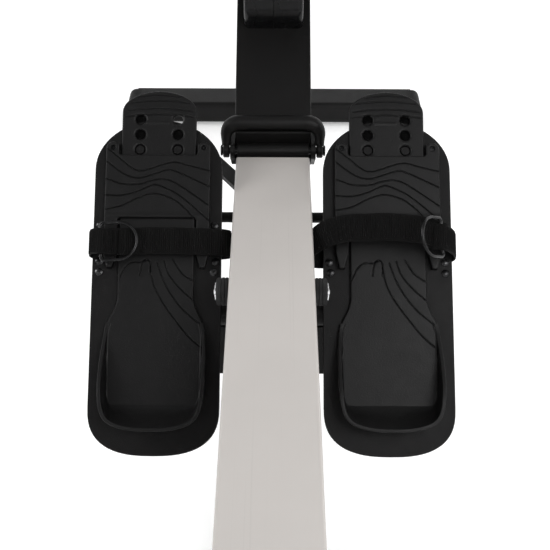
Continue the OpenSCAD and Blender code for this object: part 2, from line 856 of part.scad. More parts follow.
module rear_end_caps() { color(black) end_caps(rear_y, rear_stab_w); }

// rubber bumpers on a rod across the rail, in front of and behind the seat
module seat_stops() {
    color(black) from_rail() for (y = [-stop_y, -rail_len + 28]) translate([0, y, stop_z]) {
        rod(-stop_half, stop_half, 4.8);
        both_sides() rod(rail_w / 2, stop_half - 1.5, stop_r);
        both_sides() rod(stop_half - 1.5, stop_half, stop_r - 4);
    }
}

// ---- seat ----

module from_seat() { from_rail() translate([0, -seat_y, 0]) children(); }

module seat_carriage() {
    side_low = -rail_h - 22;
    color(steel) from_seat() {
        difference() {
            union() {
                block([-carriage_x - 3, -carriage_half, carriage_top], [carriage_x + 3, carriage_half, carriage_top + 3]);
                both_sides() side_plate(carriage_x, carriage_x + 3) polygon([
                    [-carriage_half, carriage_top + 1], [carriage_half, carriage_top + 1], [carriage_half, 4],
                    [28, side_low], [-28, side_low], [-carriage_half, 4]
                ]);
            }
            for (y = [-axle_y, axle_y]) translate([0, y, roller_seat_r + lift]) rod(-60, 60, 4);
        }
        translate([0, 0, side_low + 10]) {
            rod(-carriage_x, carriage_x, 4);
            rod(-30, 30, 10.5);
        }
    }
}

module seat_rollers(y) {
    color(black) from_seat() translate([0, y, roller_seat_r + lift]) {
        both_sides() rod(12, 32, roller_seat_r);
        rod(-carriage_x - 5, carriage_x + 5, 4 - fit);
    }
}

module seat_base() {
    color(black) from_seat() difference() {
        translate([0, 0, carriage_top + 3]) linear_extrude(14)
            polygon(round_box(-seat_w / 2 + 14, -seat_l / 2 + 12, seat_w / 2 - 14, seat_l / 2 - 12, 40));
        translate([0, 0, carriage_top + 6]) linear_extrude(14)
            polygon(round_box(-seat_w / 2 + 18, -seat_l / 2 + 16, seat_w / 2 - 18, seat_l / 2 - 16, 36));
    }
}

module seat_pad() {
    color(black) from_seat() translate([0, 0, carriage_top + 17]) linear_extrude(seat_h)
        polygon(round_box(-seat_w / 2, -seat_l / 2, seat_w / 2, seat_l / 2, 52));
}

main_beam();
mast();
front_leg();
front_stabilizer();
frame_end_caps();
hinge_ears();
hinge_pin();
wheel_bracket();
transport_wheels();
cross_tube();
footplate_saddle();
support_rod();
base_plate(-1);  // base_plate_left
base_plate(1);  // base_plate_right
toe_panels();
screws();
heel_rest(-1);  // heel_rest_left
heel_rest(1);  // heel_rest_right
foot_strap(-1, 16);  // foot_strap_left
foot_strap(1, 42);  // foot_strap_right
strap_ring(-1, -57, 50, 21.5, 0);  // strap_ring_left
strap_ring(1, 60, 58, 33, 155);  // strap_ring_right
strap_cover(-1);  // strap_cover_left
strap_cover(1);  // strap_cover_right
strap_roller();
handle_rest();
housing_half(-1);  // housing_left
housing_half(1);  // housing_right
drive_frame();
drive_shafts();
bearings();
flywheel();
drive_pulley();
drive_belt();
strap_reel();
return_spring();
brake_arm();
tension_knob();
handle_bar();
handle_grips();
handle_yoke();
pull_strap();
console_arm();
console_case();
console_screen();
console_button(-40);  // mode_button
console_button(40);  // reset_button
lock_bail();
release_lever();
rail_beam();
rail_front_bracket();
rail_end_cap();
rear_leg();
rear_end_caps();
seat_stops();
seat_carriage();
seat_base();
seat_pad();
seat_rollers(axle_y);  // front_rollers
seat_rollers(-axle_y);  // rear_rollers
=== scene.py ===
"""The looks of a rowing machine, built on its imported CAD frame.

Lengths are in millimetres unless a comment says metres. RAIL, MAST, CONSOLE and
plate_frame() take them to the row frame.
"""

import json
from math import cos, pi, radians, sin

import bmesh
import bpy
import numpy as np
from mathutils import Matrix, Vector
from mathutils.bvhtree import BVHTree


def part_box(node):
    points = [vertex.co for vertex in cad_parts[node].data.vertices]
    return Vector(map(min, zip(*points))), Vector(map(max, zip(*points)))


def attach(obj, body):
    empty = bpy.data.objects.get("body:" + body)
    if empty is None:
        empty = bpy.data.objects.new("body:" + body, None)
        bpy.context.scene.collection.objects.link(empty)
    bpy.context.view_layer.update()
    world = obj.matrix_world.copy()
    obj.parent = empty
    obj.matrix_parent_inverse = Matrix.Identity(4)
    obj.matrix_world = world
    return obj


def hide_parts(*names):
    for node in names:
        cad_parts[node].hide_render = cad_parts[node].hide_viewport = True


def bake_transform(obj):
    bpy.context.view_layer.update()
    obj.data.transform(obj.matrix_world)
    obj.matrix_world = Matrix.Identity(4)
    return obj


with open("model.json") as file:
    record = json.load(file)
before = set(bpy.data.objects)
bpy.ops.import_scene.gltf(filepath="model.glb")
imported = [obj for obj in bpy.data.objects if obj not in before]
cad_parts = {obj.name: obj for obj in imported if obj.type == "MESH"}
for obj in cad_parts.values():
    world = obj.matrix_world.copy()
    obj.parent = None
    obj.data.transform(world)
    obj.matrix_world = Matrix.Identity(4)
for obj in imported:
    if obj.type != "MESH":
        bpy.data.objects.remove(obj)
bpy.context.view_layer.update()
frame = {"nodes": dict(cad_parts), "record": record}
MM = 0.001

# ---- frames of the design, each taking millimetres to the row frame ----

MAST_FOOT = (0, 17, 9.5)
MAST_ANGLE = 33
CONSOLE_PLACE = (0, 268, 625)
CONSOLE_ANGLE = 55
PLATE_X = 117
PLATE_Y = -151.5
PLATE_Z = -59.6
PLATE_ANGLE = 41


def turn(degrees, axis):
    return Matrix.Rotation(radians(degrees), 4, axis)


rail_low, rail_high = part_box("rail_beam")
RAIL = Matrix.Translation((0, rail_high.y, rail_high.z)) @ Matrix.Scale(MM, 4)
MAST = RAIL @ Matrix.Translation(MAST_FOOT) @ turn(MAST_ANGLE, "X")
CONSOLE = RAIL @ Matrix.Translation(CONSOLE_PLACE) @ turn(CONSOLE_ANGLE, "X")
FLOOR = -rail_high.z / MM


def plate_frame(side):
    """Across, towards the toes and off the footplate on that side."""
    return RAIL @ Matrix.Translation((side * PLATE_X, PLATE_Y, PLATE_Z)) @ turn(PLATE_ANGLE, "X")


SIDES = {"left": -1, "right": 1}

# ---- materials ----


class Paint:
    """A material with short calls for its nodes. Places are the row frame's, in metres, unless uv is used."""

    def __init__(
        self, name, color, roughness, metallic=0.0, specular=0.5, coat=0.0, coat_roughness=0.1,
        sheen=0.0
    ):
        self.material = bpy.data.materials.new(name)
        self.material.use_nodes = True
        self.tree = self.material.node_tree
        self.shader = self.tree.nodes["Principled BSDF"]
        self.shader.inputs["Base Color"].default_value = (*color, 1)
        self.shader.inputs["Roughness"].default_value = roughness
        self.shader.inputs["Metallic"].default_value = metallic
        self.shader.inputs["Specular IOR Level"].default_value = specular
        self.shader.inputs["Coat Weight"].default_value = coat
        self.shader.inputs["Coat Roughness"].default_value = coat_roughness
        self.shader.inputs["Sheen Weight"].default_value = sheen
        self.color = color
        self.place = self.node("ShaderNodeTexCoord").outputs["Object"]

    def node(self, kind, inputs=None, **settings):
        made = self.tree.nodes.new(kind)
        for key, value in settings.items():
            setattr(made, key, value)
        for key, value in (inputs or {}).items():
            self.feed(made.inputs[key], value)
        return made

    def feed(self, socket, value):
        if isinstance(value, bpy.types.NodeSocket):
            self.tree.links.new(value, socket)
        else:
            socket.default_value = value

    def noise(self, scale, detail=3.0, place=None, rough=0.5):
        inputs = {"Vector": place or self.place, "Scale": scale, "Detail": detail, "Roughness": rough}
        return self.node("ShaderNodeTexNoise", inputs).outputs["Fac"]

    def cells(self, scale, place=None, smooth=True):
        inputs = {"Vector": place or self.place, "Scale": scale}
        feature = "SMOOTH_F1" if smooth else "F1"
        return self.node("ShaderNodeTexVoronoi", inputs, feature=feature).outputs["Distance"]

    def stretched(self, x, y, z, place=None):
        """The place with each axis scaled."""
        inputs = {0: place or self.place, 1: (x, y, z)}
        return self.node("ShaderNodeVectorMath", inputs, operation="MULTIPLY").outputs[0]

    def axis(self, name, place=None):
        return self.node("ShaderNodeSeparateXYZ", {0: place or self.place}).outputs[name]

    def uv(self):
        return self.node("ShaderNodeUVMap", uv_map="Along").outputs[0]

    def sum(self, a, b, operation="ADD"):
        return self.node("ShaderNodeMath", {0: a, 1: b}, operation=operation).outputs[0]

    def wave(self, value, period):
        """0 to 1 and back once every period."""
        turned = self.sum(value, 2 * pi / period, "MULTIPLY")
        swing = self.node("ShaderNodeMath", {0: turned}, operation="SINE").outputs[0]
        return self.scaled(swing, -1, 1, 0, 1)

    def scaled(self, value, low, high, to_low, to_high):
        inputs = {"Value": value, "From Min": low, "From Max": high, "To Min": to_low, "To Max": to_high}
        return self.node("ShaderNodeMapRange", inputs).outputs[0]

    def mix(self, share, a, b):
        inputs = {0: share}
        made = self.node("ShaderNodeMix", inputs, data_type="RGBA")
        self.feed(made.inputs[6], a if isinstance(a, bpy.types.NodeSocket) else (*a, 1))
        self.feed(made.inputs[7], b if isinstance(b, bpy.types.NodeSocket) else (*b, 1))
        return made.outputs[2]

    def tint(self, share, other):
        """The base colour turns to the other one where share is 1."""
        socket = self.shader.inputs["Base Color"]
        before = socket.links[0].from_socket if socket.links else self.color
        self.feed(socket, self.mix(share, before, other))

    def mottle(self, scale, detail, low, high, other, share=1):
        """Noise between low and high turns the base colour by up to share to the other one."""
        self.tint(self.scaled(self.noise(scale, detail), low, high, 0, share), other)

    def roughness(self, value, low, high):
        self.feed(self.shader.inputs["Roughness"], self.scaled(value, 0, 1, low, high))

    def bump(self, height, distance, strength=1.0):
        """Raises the surface by up to distance, in metres, where height is 1. Calls add up."""
        socket = self.shader.inputs["Normal"]
        inputs = {"Height": height, "Distance": distance, "Strength": strength}
        if socket.links:
            inputs["Normal"] = socket.links[0].from_socket
        self.feed(socket, self.node("ShaderNodeBump", inputs).outputs[0])


def shade(color, share):
    return tuple(c * share for c in color)


def powder_coat():
    """Satin black powder coat with its fine orange peel."""
    p = Paint("powder_coat", (0.0036, 0.0034, 0.0034), 0.42, specular=0.15)
    p.mottle(9, 4, 0.35, 0.7, (0.0052, 0.005, 0.0049))
    p.roughness(p.noise(60, 3), 0.36, 0.5)
    p.bump(p.noise(900, 2), 0.00006)
    p.bump(p.noise(240, 2), 0.00008)
    return p.material


def rail_paint():
    """Warm grey satin paint on the rail, a little worn where the rollers run."""
    color = (0.475, 0.45, 0.43)
    p = Paint("rail_paint", color, 0.34, metallic=0.15, specular=0.45)
    p.mottle(6, 4, 0.3, 0.75, shade(color, 0.9), 0.7)
    runs = p.noise(1, 5, p.stretched(700, 3, 200))
    p.tint(p.scaled(runs, 0.62, 0.75, 0, 0.35), shade(color, 0.75))
    p.roughness(p.noise(35, 4), 0.27, 0.42)
    p.bump(p.noise(700, 2), 0.00003)
    p.bump(runs, 0.00002)
    return p.material


def moulded_plastic(name, color, roughness=0.55, specular=0.3, grain=1400, depth=0.0001):
    """Injection-moulded plastic with a spark-eroded grain."""
    p = Paint(name, color, roughness, specular=specular)
    p.mottle(25, 4, 0.4, 0.7, shade(color, 1.25))
    p.mottle(420, 2, 0.55, 0.75, shade(color, 1.45), 0.6)
    p.roughness(p.noise(90, 3), roughness - 0.07, roughness + 0.08)
    p.bump(p.cells(grain), depth)
    p.bump(p.noise(grain * 0.5, 3), depth)
    return p.material


def gloss_plastic():
    """Glossy black housing plastic with faint polishing swirls."""
    p = Paint(
        "gloss_plastic", (0.0035, 0.0035, 0.0037), 0.26, specular=0.16, coat=0.06, coat_roughness=0.12
    )
    p.mottle(14, 3, 0.4, 0.7, (0.005, 0.005, 0.0052))
    p.roughness(p.noise(30, 5), 0.2, 0.33)
    p.bump(p.noise(320, 2), 0.00002)
    return p.material


def zinc_steel():
    """Bright zinc plating, brushed along the machine's width."""
    p = Paint("zinc_steel", (0.42, 0.42, 0.43), 0.3, metallic=1.0)
    strokes = p.noise(1, 4, p.stretched(60, 2600, 2600))
    p.mottle(60, 4, 0.35, 0.7, (0.3, 0.3, 0.315), 0.6)
    p.roughness(strokes, 0.2, 0.4)
    p.bump(strokes, 0.000015)
    return p.material


def polished_steel():
    """Chromed wire and pins."""
    p = Paint("polished_steel", (0.72, 0.72, 0.73), 0.14, metallic=1.0)
    p.mottle(120, 3, 0.45, 0.75, (0.5, 0.5, 0.52), 0.5)
    p.roughness(p.noise(260, 4), 0.09, 0.24)
    p.bump(p.noise(1500, 2), 0.00001)
    return p.material


def black_steel():
    """Blackened wire and screws, worn a little bright."""
    p = Paint("black_steel", (0.017, 0.017, 0.0175), 0.24, metallic=0.85, specular=0.3)
    p.mottle(70, 3, 0.45, 0.75, (0.05, 0.05, 0.051), 0.8)
    p.roughness(p.noise(200, 4), 0.2, 0.3)
    p.bump(p.noise(1500, 2), 0.00001)
    return p.material


def pocket_black():
    """Painted shade: a near-black colour that stands for the unlit bottom of a blind hole."""
    p = Paint("pocket_black", (0.0012, 0.0012, 0.0012), 0.8, specular=0.03)
    p.mottle(900, 3, 0.5, 0.7, (0.006, 0.006, 0.006))
    p.bump(p.noise(900, 3), 0.0002)
    return p.material


def cast_iron():
    """Sand-cast flywheel with a dark lacquer."""
    p = Paint("cast_iron", (0.06, 0.06, 0.062), 0.5, metallic=0.7)
    p.mottle(40, 6, 0.4, 0.7, (0.1, 0.098, 0.095))
    p.roughness(p.noise(150, 4), 0.4, 0.65)
    p.bump(p.noise(380, 5), 0.0003)
    return p.material


def woven_strap():
    """Polyester webbing: ribs split by the warp, on the strap's own lengthwise coordinates."""
    p = Paint("woven_strap", (0.0018, 0.0017, 0.0017), 0.74, specular=0.07, sheen=0.01)
    across = p.axis("X", p.uv())
    along = p.axis("Y", p.uv())
    warp = p.wave(across, 0.0017)
    weft = p.wave(along, 0.0015)
    p.mottle(1400, 3, 0.4, 0.75, (0.0055, 0.0053, 0.0053))
    # Painted highlight: the weave's crests, where warp and weft rise together, are coloured lighter.
    p.tint(p.scaled(p.sum(warp, weft, "MULTIPLY"), 0.2, 1, 0, 0.55), (0.0085, 0.0083, 0.0083))
    p.roughness(weft, 0.7, 0.88)
    p.bump(warp, 0.00012)
    p.bump(weft, 0.00015)
    p.bump(p.noise(2600, 2), 0.00006)
    return p.material


def rubber():
    """Matt rubber with bloom and fine pits."""
    p = Paint("rubber", (0.008, 0.008, 0.0083), 0.6, specular=0.25)
    p.mottle(45, 5, 0.45, 0.75, (0.021, 0.021, 0.021))
    p.roughness(p.noise(160, 3), 0.6, 0.85)
    p.bump(p.noise(1300, 3), 0.00009)
    return p.material


def foam():
    """Closed-cell foam of the grips, full of small pores."""
    p = Paint("foam", (0.013, 0.013, 0.0135), 0.88, specular=0.2, sheen=0.1)
    pores = p.cells(1500, smooth=False)
    # Painted shade: the pores' pits, which the bump below sinks, are coloured darker.
    p.tint(p.scaled(pores, 0.1, 0.7, 0, 1), (0.026, 0.026, 0.027))
    p.roughness(p.noise(80, 3), 0.82, 0.95)
    p.bump(pores, 0.0003, 0.7)
    p.bump(p.noise(160, 3), 0.0002)
    return p.material


def seat_vinyl():
    """Grained upholstery vinyl, its gloss and tone varying a little in broad patches."""
    p = Paint("seat_vinyl", (0.012, 0.012, 0.0125), 0.5, specular=0.4, sheen=0.05)
    grain = p.cells(520)
    # Painted shade: the grain's pits, which the bump below sinks, are coloured darker than its rims.
    p.tint(p.scaled(grain, 0.15, 0.75, 0, 1), (0.02, 0.02, 0.0205))
    p.mottle(7, 3, 0.45, 0.7, (0.017, 0.0168, 0.0165), 0.6)
    p.roughness(p.noise(9, 4), 0.4, 0.6)
    p.bump(grain, 0.00022)
    p.bump(p.noise(1900, 3), 0.00005)
    p.bump(p.noise(30, 3), 0.0006)
    return p.material


def thread():
    """Pale sewing thread."""
    p = Paint("thread", (0.05, 0.05, 0.052), 0.7, specular=0.3, sheen=0.4)
    p.mottle(3000, 2, 0.4, 0.7, (0.085, 0.085, 0.088))
    p.bump(p.noise(4000, 2), 0.00005)
    return p.material


def screen_glass():
    """Grey-green display behind a clear window."""
    p = Paint("screen_glass", (0.20, 0.235, 0.205), 0.16, specular=0.5, coat=0.6, coat_roughness=0.05)
    p.mottle(30, 3, 0.4, 0.7, (0.17, 0.2, 0.18))
    p.roughness(p.noise(50, 3), 0.12, 0.22)
    p.bump(p.noise(400, 2), 0.00001)
    return p.material


def display_ink():
    """The dark bars of the display's figures."""
    p = Paint("display_ink", (0.012, 0.014, 0.013), 0.3, specular=0.3)
    p.roughness(p.noise(200, 2), 0.25, 0.4)
    return p.material


def printed_white():
    """White print of the tension scale."""
    p = Paint("printed_white", (0.6, 0.6, 0.59), 0.5, specular=0.4)
    p.mottle(500, 3, 0.4, 0.7, (0.5, 0.5, 0.49))
    return p.material


def button_rubber():
    """Grey rubber of the console's buttons."""
    p = Paint("button_rubber", (0.09, 0.095, 0.1), 0.5, specular=0.4)
    p.mottle(90, 4, 0.4, 0.7, (0.12, 0.125, 0.13))
    p.roughness(p.noise(220, 3), 0.42, 0.6)
    p.bump(p.noise(1500, 2), 0.00006)
    return p.material


MATERIALS = {
    "frame_black": powder_coat(),
    "rail_paint": rail_paint(),
    "plated_steel": zinc_steel(),
    "bright_steel": polished_steel(),
    "moulded_black": moulded_plastic("moulded_black", (0.0034, 0.0032, 0.0033), 0.5, 0.13),
    "gloss_black": gloss_plastic(),
    "toe_plastic": moulded_plastic("toe_plastic", (0.0034, 0.0033, 0.0034), 0.44, 0.17, 1100, 0.0001),
    "webbing": woven_strap(),
    "rubber": rubber(),
    "foam": foam(),
    "black_steel": black_steel(),
    "pocket": pocket_black(),
    "cast_iron": cast_iron(),
    "seat_vinyl": seat_vinyl(),
    "screen": screen_glass(),
    "button": button_rubber(),
    "thread": thread(),
    "ink": display_ink(),
    "print": printed_white(),
}

# ---- mesh building ----

SMOOTH_LIMIT = 32
MERGE_M = 0.000002
FLAT_LIMIT = 0.6
SLAB_KEPT = 0.22


def place_piece(obj, body, slot, nodes=(), material=None):
    """Gives a piece its material, its body and the CAD nodes that it stands for."""
    obj.data.materials.clear()
    obj.data.materials.append(MATERIALS[material or slot])
    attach(obj, body)
    if nodes:
        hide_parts(*nodes)
    return obj


def new_piece(name, verts, faces, place, limit=SMOOTH_LIMIT, weighted=True):
    """An object from points in the given frame, shaded smooth up to the limit angle."""
    mesh = bpy.data.meshes.new(name)
    mesh.from_pydata([place @ Vector(v) for v in verts], [], faces)
    mesh.validate()
    bm = bmesh.new()
    bm.from_mesh(mesh)
    bmesh.ops.recalc_face_normals(bm, faces=bm.faces)
    bm.to_mesh(mesh)
    bm.free()
    obj = bpy.data.objects.new(name, mesh)
    bpy.context.scene.collection.objects.link(obj)
    return shade_piece(obj, limit, weighted)


def shade_piece(obj, limit=SMOOTH_LIMIT, weighted=True):
    obj.data.shade_smooth()
    obj.data.set_sharp_from_angle(angle=radians(limit))
    if weighted:
        weighting = obj.modifiers.new("weighted", "WEIGHTED_NORMAL")
        weighting.keep_sharp = True
        weighting.weight = 80
    return obj


def apply_modifiers(obj):
    """Turns the modified shape into the piece's own mesh."""
    graph = bpy.context.evaluated_depsgraph_get()
    mesh = bpy.data.meshes.new_from_object(obj.evaluated_get(graph))
    obj.modifiers.clear()
    obj.data = mesh
    return obj


def soften(node, width, material=None, segments=3, limit=28, body=None):
    """A copy of a CAD node with its edges rounded by width, which stands for that node."""
    source = frame["nodes"][node]
    mesh = source.data.copy()
    bm = bmesh.new()
    bm.from_mesh(mesh)
    bmesh.ops.remove_doubles(bm, verts=bm.verts, dist=MERGE_M)
    bmesh.ops.dissolve_limit(bm, angle_limit=radians(FLAT_LIMIT), verts=bm.verts, edges=bm.edges)
    bm.to_mesh(mesh)
    bm.free()
    obj = bpy.data.objects.new(node + "_look", mesh)
    bpy.context.scene.collection.objects.link(obj)
    bevel = obj.modifiers.new("edges", "BEVEL")
    bevel.width = width * MM
    bevel.segments = segments
    bevel.limit_method = "ANGLE"
    bevel.angle_limit = radians(limit)
    bevel.miter_outer = "MITER_ARC"
    bevel.use_clamp_overlap = True
    shade_piece(obj)
    slot = slot_of(node)
    return place_piece(obj, body or body_of_node(node), slot, [node], material)


def body_of_node(node):
    bodies = frame["record"]["behaviour"]["bodies"]
    return next(name for name, nodes in bodies.items() if node in nodes)


def slot_of(node):
    return next(part["material_slot"] for part in frame["record"]["subparts"] if part["node"] == node)


def lathe(name, profile, place, steps=64, limit=SMOOTH_LIMIT):
    """A turned piece round its frame's X axis, from (x, radius) points; it ends at radius 0 or is a ring."""
    verts = []
    faces = []
    rings = []
    for x, r in profile:
        if r < 1e-6:
            rings.append([len(verts)])
            verts.append((x, 0, 0))
            continue
        rings.append(list(range(len(verts), len(verts) + steps)))
        turns = [2 * pi * k / steps for k in range(steps)]
        verts += [(x, r * cos(t), r * sin(t)) for t in turns]
    closed = profile[0][1] > 1e-6
    pairs = list(zip(rings, rings[1:])) + ([(rings[-1], rings[0])] if closed else [])
    for a, b in pairs:
        for k in range(steps):
            n = (k + 1) % steps
            corners = [a[k % len(a)], a[n % len(a)], b[n % len(b)], b[k % len(b)]]
            faces.append(list(dict.fromkeys(corners)))
    return new_piece(name, verts, faces, place, limit)


def turned_part(name, side, profile, place, body, slot, nodes=(), material=None, **shape):
    """A turned piece on that side of its frame, put in its place on a body."""
    piece = lathe(name, [(side * x, r) for x, r in profile], place, **shape)
    return place_piece(piece, body, slot, nodes, material)


def skin(rows, size, closed=False):
    """The faces between rows of size points, with a lid on both ends unless the rows close into a ring."""
    faces = []
    for k in range(rows if closed else rows - 1):
        n = (k + 1) % rows
        for j in range(size):
            m = (j + 1) % size
            faces.append((k * size + j, k * size + m, n * size + m, n * size + j))
    if not closed:
        faces.append(tuple(range(size)))
        faces.append(tuple(range((rows - 1) * size, rows * size)))
    return faces


def arc_lengths(p):
    """The distance along a line at each of its points."""
    return np.concatenate([[0], np.cumsum(np.linalg.norm(np.diff(p, axis=0), axis=1))])


def lay_along(obj, across, lengths):
    """Coordinates in metres across and along a band, for its weave."""
    layer = obj.data.uv_layers.new(name="Along")
    for loop in obj.data.loops:
        k, j = divmod(loop.vertex_index, len(across))
        layer.data[loop.index].uv = (across[j] * MM, lengths[k] * MM)


def arc(cx, cy, r, start, end, steps=6):
    """Points of a round stretch, its angles in degrees."""
    turns = [radians(start + (end - start) * k / steps) for k in range(steps + 1)]
    return [(cx + r * cos(t), cy + r * sin(t)) for t in turns]


def smooth_line(points, steps=10, closed=False):
    """A Catmull-Rom line through the points."""
    p = [np.array(q, float) for q in points]
    count = len(p)
    made = []
    for i in range(count if closed else count - 1):
        if closed:
            a, b, c, d = (p[(i + k) % count] for k in (-1, 0, 1, 2))
        else:
            a, b, c, d = p[max(i - 1, 0)], p[i], p[i + 1], p[min(i + 2, count - 1)]
        for t in np.arange(steps) / steps:
            first = 2 * b + (c - a) * t
            rest = (2 * a - 5 * b + 4 * c - d) * t**2 + (3 * b - a - 3 * c + d) * t**3
            made.append(tuple((first + rest) / 2))
    if not closed:
        made.append(tuple(p[-1]))
    return made


def sweep(name, path, section, place, up, closed=False, limit=40, scales=None):
    """Carries a closed section (a, b) along a path, with a lying sideways and b along up."""
    p = np.array(path, float)
    count = len(p)
    if closed:
        tangent = np.roll(p, -1, 0) - np.roll(p, 1, 0)
    else:
        tangent = np.gradient(p, axis=0)
    tangent /= np.linalg.norm(tangent, axis=1)[:, None]
    up = np.array(up, float)
    ups = np.array([up - t * (up @ t) for t in tangent])
    ups /= np.linalg.norm(ups, axis=1)[:, None]
    sides = np.cross(tangent, ups)
    verts = []
    for k in range(count):
        grow = 1 if scales is None else scales[k]
        verts += [tuple(p[k] + grow * (a * sides[k] + b * ups[k])) for a, b in section]
    return new_piece(name, verts, skin(count, len(section), closed), place, limit)


def distance_to(points, line, closed):
    """The distance of each point from a line, and whether it lies inside when the line is closed."""
    line = np.array(line, float)
    ends = np.roll(line, -1, 0) if closed else line[1:]
    starts = line if closed else line[:-1]
    best = np.full(len(points), 1e9)
    inside = np.zeros(len(points), bool)
    for a, b in zip(starts, ends):
        d = b - a
        t = np.clip(((points - a) @ d) / max(d @ d, 1e-12), 0, 1)
        gap = points - (a + t[:, None] * d)
        best = np.minimum(best, (gap**2).sum(1))
        if closed and a[1] != b[1]:
            crossing = (points[:, 1] > min(a[1], b[1])) & (points[:, 1] <= max(a[1], b[1]))
            x = a[0] + (points[:, 1] - a[1]) * d[0] / d[1]
            inside ^= crossing & (points[:, 0] < x)
    return np.sqrt(best), inside


def slab(name, outline, holes, top, bottom, cell, place, limit=42):
    """A plate over a flat outline with (x, y, radius) holes, from top(x, y, inset) to bottom(x, y) high."""
    outline = np.array(outline, float)

    def outside(points):
        gap, inside = distance_to(points, outline, True)
        signed = np.where(inside, -gap, gap)
        for x, y, r in holes:
            signed = np.maximum(signed, r - np.hypot(points[:, 0] - x, points[:, 1] - y))
        return signed

    low = outline.min(0) - cell
    counts = np.ceil((outline.max(0) + cell - low) / cell).astype(int) + 1
    xs = low[0] + cell * np.arange(counts[0])
    ys = low[1] + cell * np.arange(counts[1])
    points = np.stack(np.meshgrid(xs, ys, indexing="ij"), -1).reshape(-1, 2)
    signed = outside(points)
    keep = (signed < 0.7 * cell).reshape(counts)
    square = keep[:-1, :-1] & keep[1:, :-1] & keep[1:, 1:] & keep[:-1, 1:]
    columns = counts[1]
    i, j = np.nonzero(square)
    quads = np.stack(
        [i * columns + j, (i + 1) * columns + j, (i + 1) * columns + j + 1, i * columns + j + 1], 1
    )
    edges = {}
    for quad in quads:
        for k in range(4):
            pair = (quad[k], quad[(k + 1) % 4])
            edges[(min(pair), max(pair))] = None if (min(pair), max(pair)) in edges else pair
    rim = [pair for pair in edges.values() if pair]
    rim_points = np.unique(np.array(rim))
    for _ in range(3):
        here = points[rim_points]
        gap = outside(here)
        slope_x = outside(here + (0.01, 0)) - gap
        slope_y = outside(here + (0, 0.01)) - gap
        steep = np.stack([slope_x, slope_y], 1) / 0.01
        steep /= np.maximum(np.linalg.norm(steep, axis=1), 0.3)[:, None]
        points[rim_points] = here - steep * gap[:, None]
    used, where = np.unique(quads, return_inverse=True)
    quads = where.reshape(quads.shape)
    order = {old: new for new, old in enumerate(used)}
    flat = points[used]
    inset = np.maximum(-outside(flat), 0)
    upper = top(flat[:, 0], flat[:, 1], inset)
    lower = bottom(flat[:, 0], flat[:, 1])
    count = len(flat)
    verts = [(x, y, z) for (x, y), z in zip(flat, upper)] + [(x, y, z) for (x, y), z in zip(flat, lower)]
    faces = [tuple(q) for q in quads] + [tuple(q[::-1] + count) for q in quads]
    faces += [(order[a], order[a] + count, order[b] + count, order[b]) for a, b in rim]
    obj = new_piece(name, verts, faces, place, limit, weighted=False)
    thin = obj.modifiers.new("thin", "DECIMATE")
    thin.ratio = SLAB_KEPT
    return shade_piece(apply_modifiers(obj), limit)


def rounded_edge(inset, r):
    """How far a surface drops near its edge for an edge rounded by r."""
    reach = np.clip(r - inset, 0, r)
    return r - np.sqrt(r * r - reach * reach)


def groove(x, y, line, width, depth):
    """The depth of a smooth-walled groove of that width along a line."""
    gap, _ = distance_to(np.stack([x, y], 1), line, False)
    return depth * np.clip(1 - (2 * gap / width) ** 2, 0, 1) ** 0.7


# ---- footplates ----

REST_TOP = 4.3
PANEL_TOP = 7.8
PEG_X = 19.3
PEG_ROWS = (144.6, 160.6, 176.6)
PEG_R = 5.15


def panel_outline():
    """Half of a toe panel's outline, mirrored: the bridge, its two lugs and its two short legs."""
    half = [(0, 138), (34, 138)] + arc(37, 141, 3, 270, 360, 3) + [(39.8, 150)]
    half += arc(46.6, 145.2, 6.8, 135, 0, 8) + [(53.5, 138), (53.5, 37), (49.5, 21), (44, 21), (39.8, 37)]
    half += arc(36.8, 69, 3, 0, 90, 3) + [(0, 72)]
    return half + [(-x, y) for x, y in half[::-1][1:-1]]


PANEL_WAVES = [
    [(-54, 146), (-40, 135), (-28, 125), (-19, 121), (-8, 123), (6, 128), (18, 130), (30, 127), (54, 121)],
    [(-56, 134), (-45, 125), (-35, 118), (-25, 114), (-15, 114), (0, 119), (11, 122), (22, 119), (54, 104)],
    [(-56, 114), (-45, 110), (-35, 107), (-18, 107), (-5, 111), (8, 112), (22, 106), (54, 84)],
    [(-56, 96), (-38, 95), (-21, 99), (-8, 105), (0, 106), (18, 98), (34, 86), (54, 68)],
    [(-56, 80), (-37, 84), (-21, 92), (-4, 97), (15, 92), (28, 82), (38, 71)],
]


def toe_panel(side, name):
    """The fixed panel that the heel rest slides under, with a wave pattern sunk in its top."""
    waves = [smooth_line(line, 8) for line in PANEL_WAVES]

    def top(x, y, inset):
        height = PANEL_TOP - rounded_edge(inset, 1.4)
        height -= sum(groove(x, y, line, 1.5, 1.1) for line in waves)
        return height + 0.5 * np.exp(-(((y - 74.5) / 2.2) ** 2)) * (inset > 0.8)

    def bottom(x, y):
        return np.where((np.abs(x) < 39.3) & (y > 60), REST_TOP + 0.6, 0.0)

    screws = [(x, 145.7, 2.2) for x in (-46.4, 46.4)]
    return slab(name, panel_outline(), screws, top, bottom, 0.5, plate_frame(side))


def rest_outline(half, waist, cup):
    """A heel rest from the tab's tip to the back of the heel, both halves."""
    right = [(half * sin(radians(t)), 185 + 22 * cos(radians(t))) for t in range(0, 91, 5)]
    right += [(half + waist * (1 - cos(pi * k / 10)) / 2, -8 - 3.8 * k) for k in range(11)]
    right += [(cup - 0.2, -100), (cup - 2, -113), (cup - 8.5, -119.8), (cup - 28, -121), (0, -121)]
    return right + [(-x, y) for x, y in right[::-1][1:-1]]


BED_LINES = [
    [(-38, 8), (-36, 12), (-31, 22), (-24, 27), (-16, 27), (-11, 29)],
    [(-6, 22), (-2, 4), (7, -13), (20, -31), (35, -49), (50, -61)],
    [(1, 27), (8, 8), (18, -9), (30, -23), (46, -36)],
    [(8, 29), (13, 15), (24, 1), (40, -13)],
    [(17, 30), (26, 16), (38, 8)],
    [(-16, 14), (-14, 26), (-10, 30), (-6, 26), (-6, 14)],
]


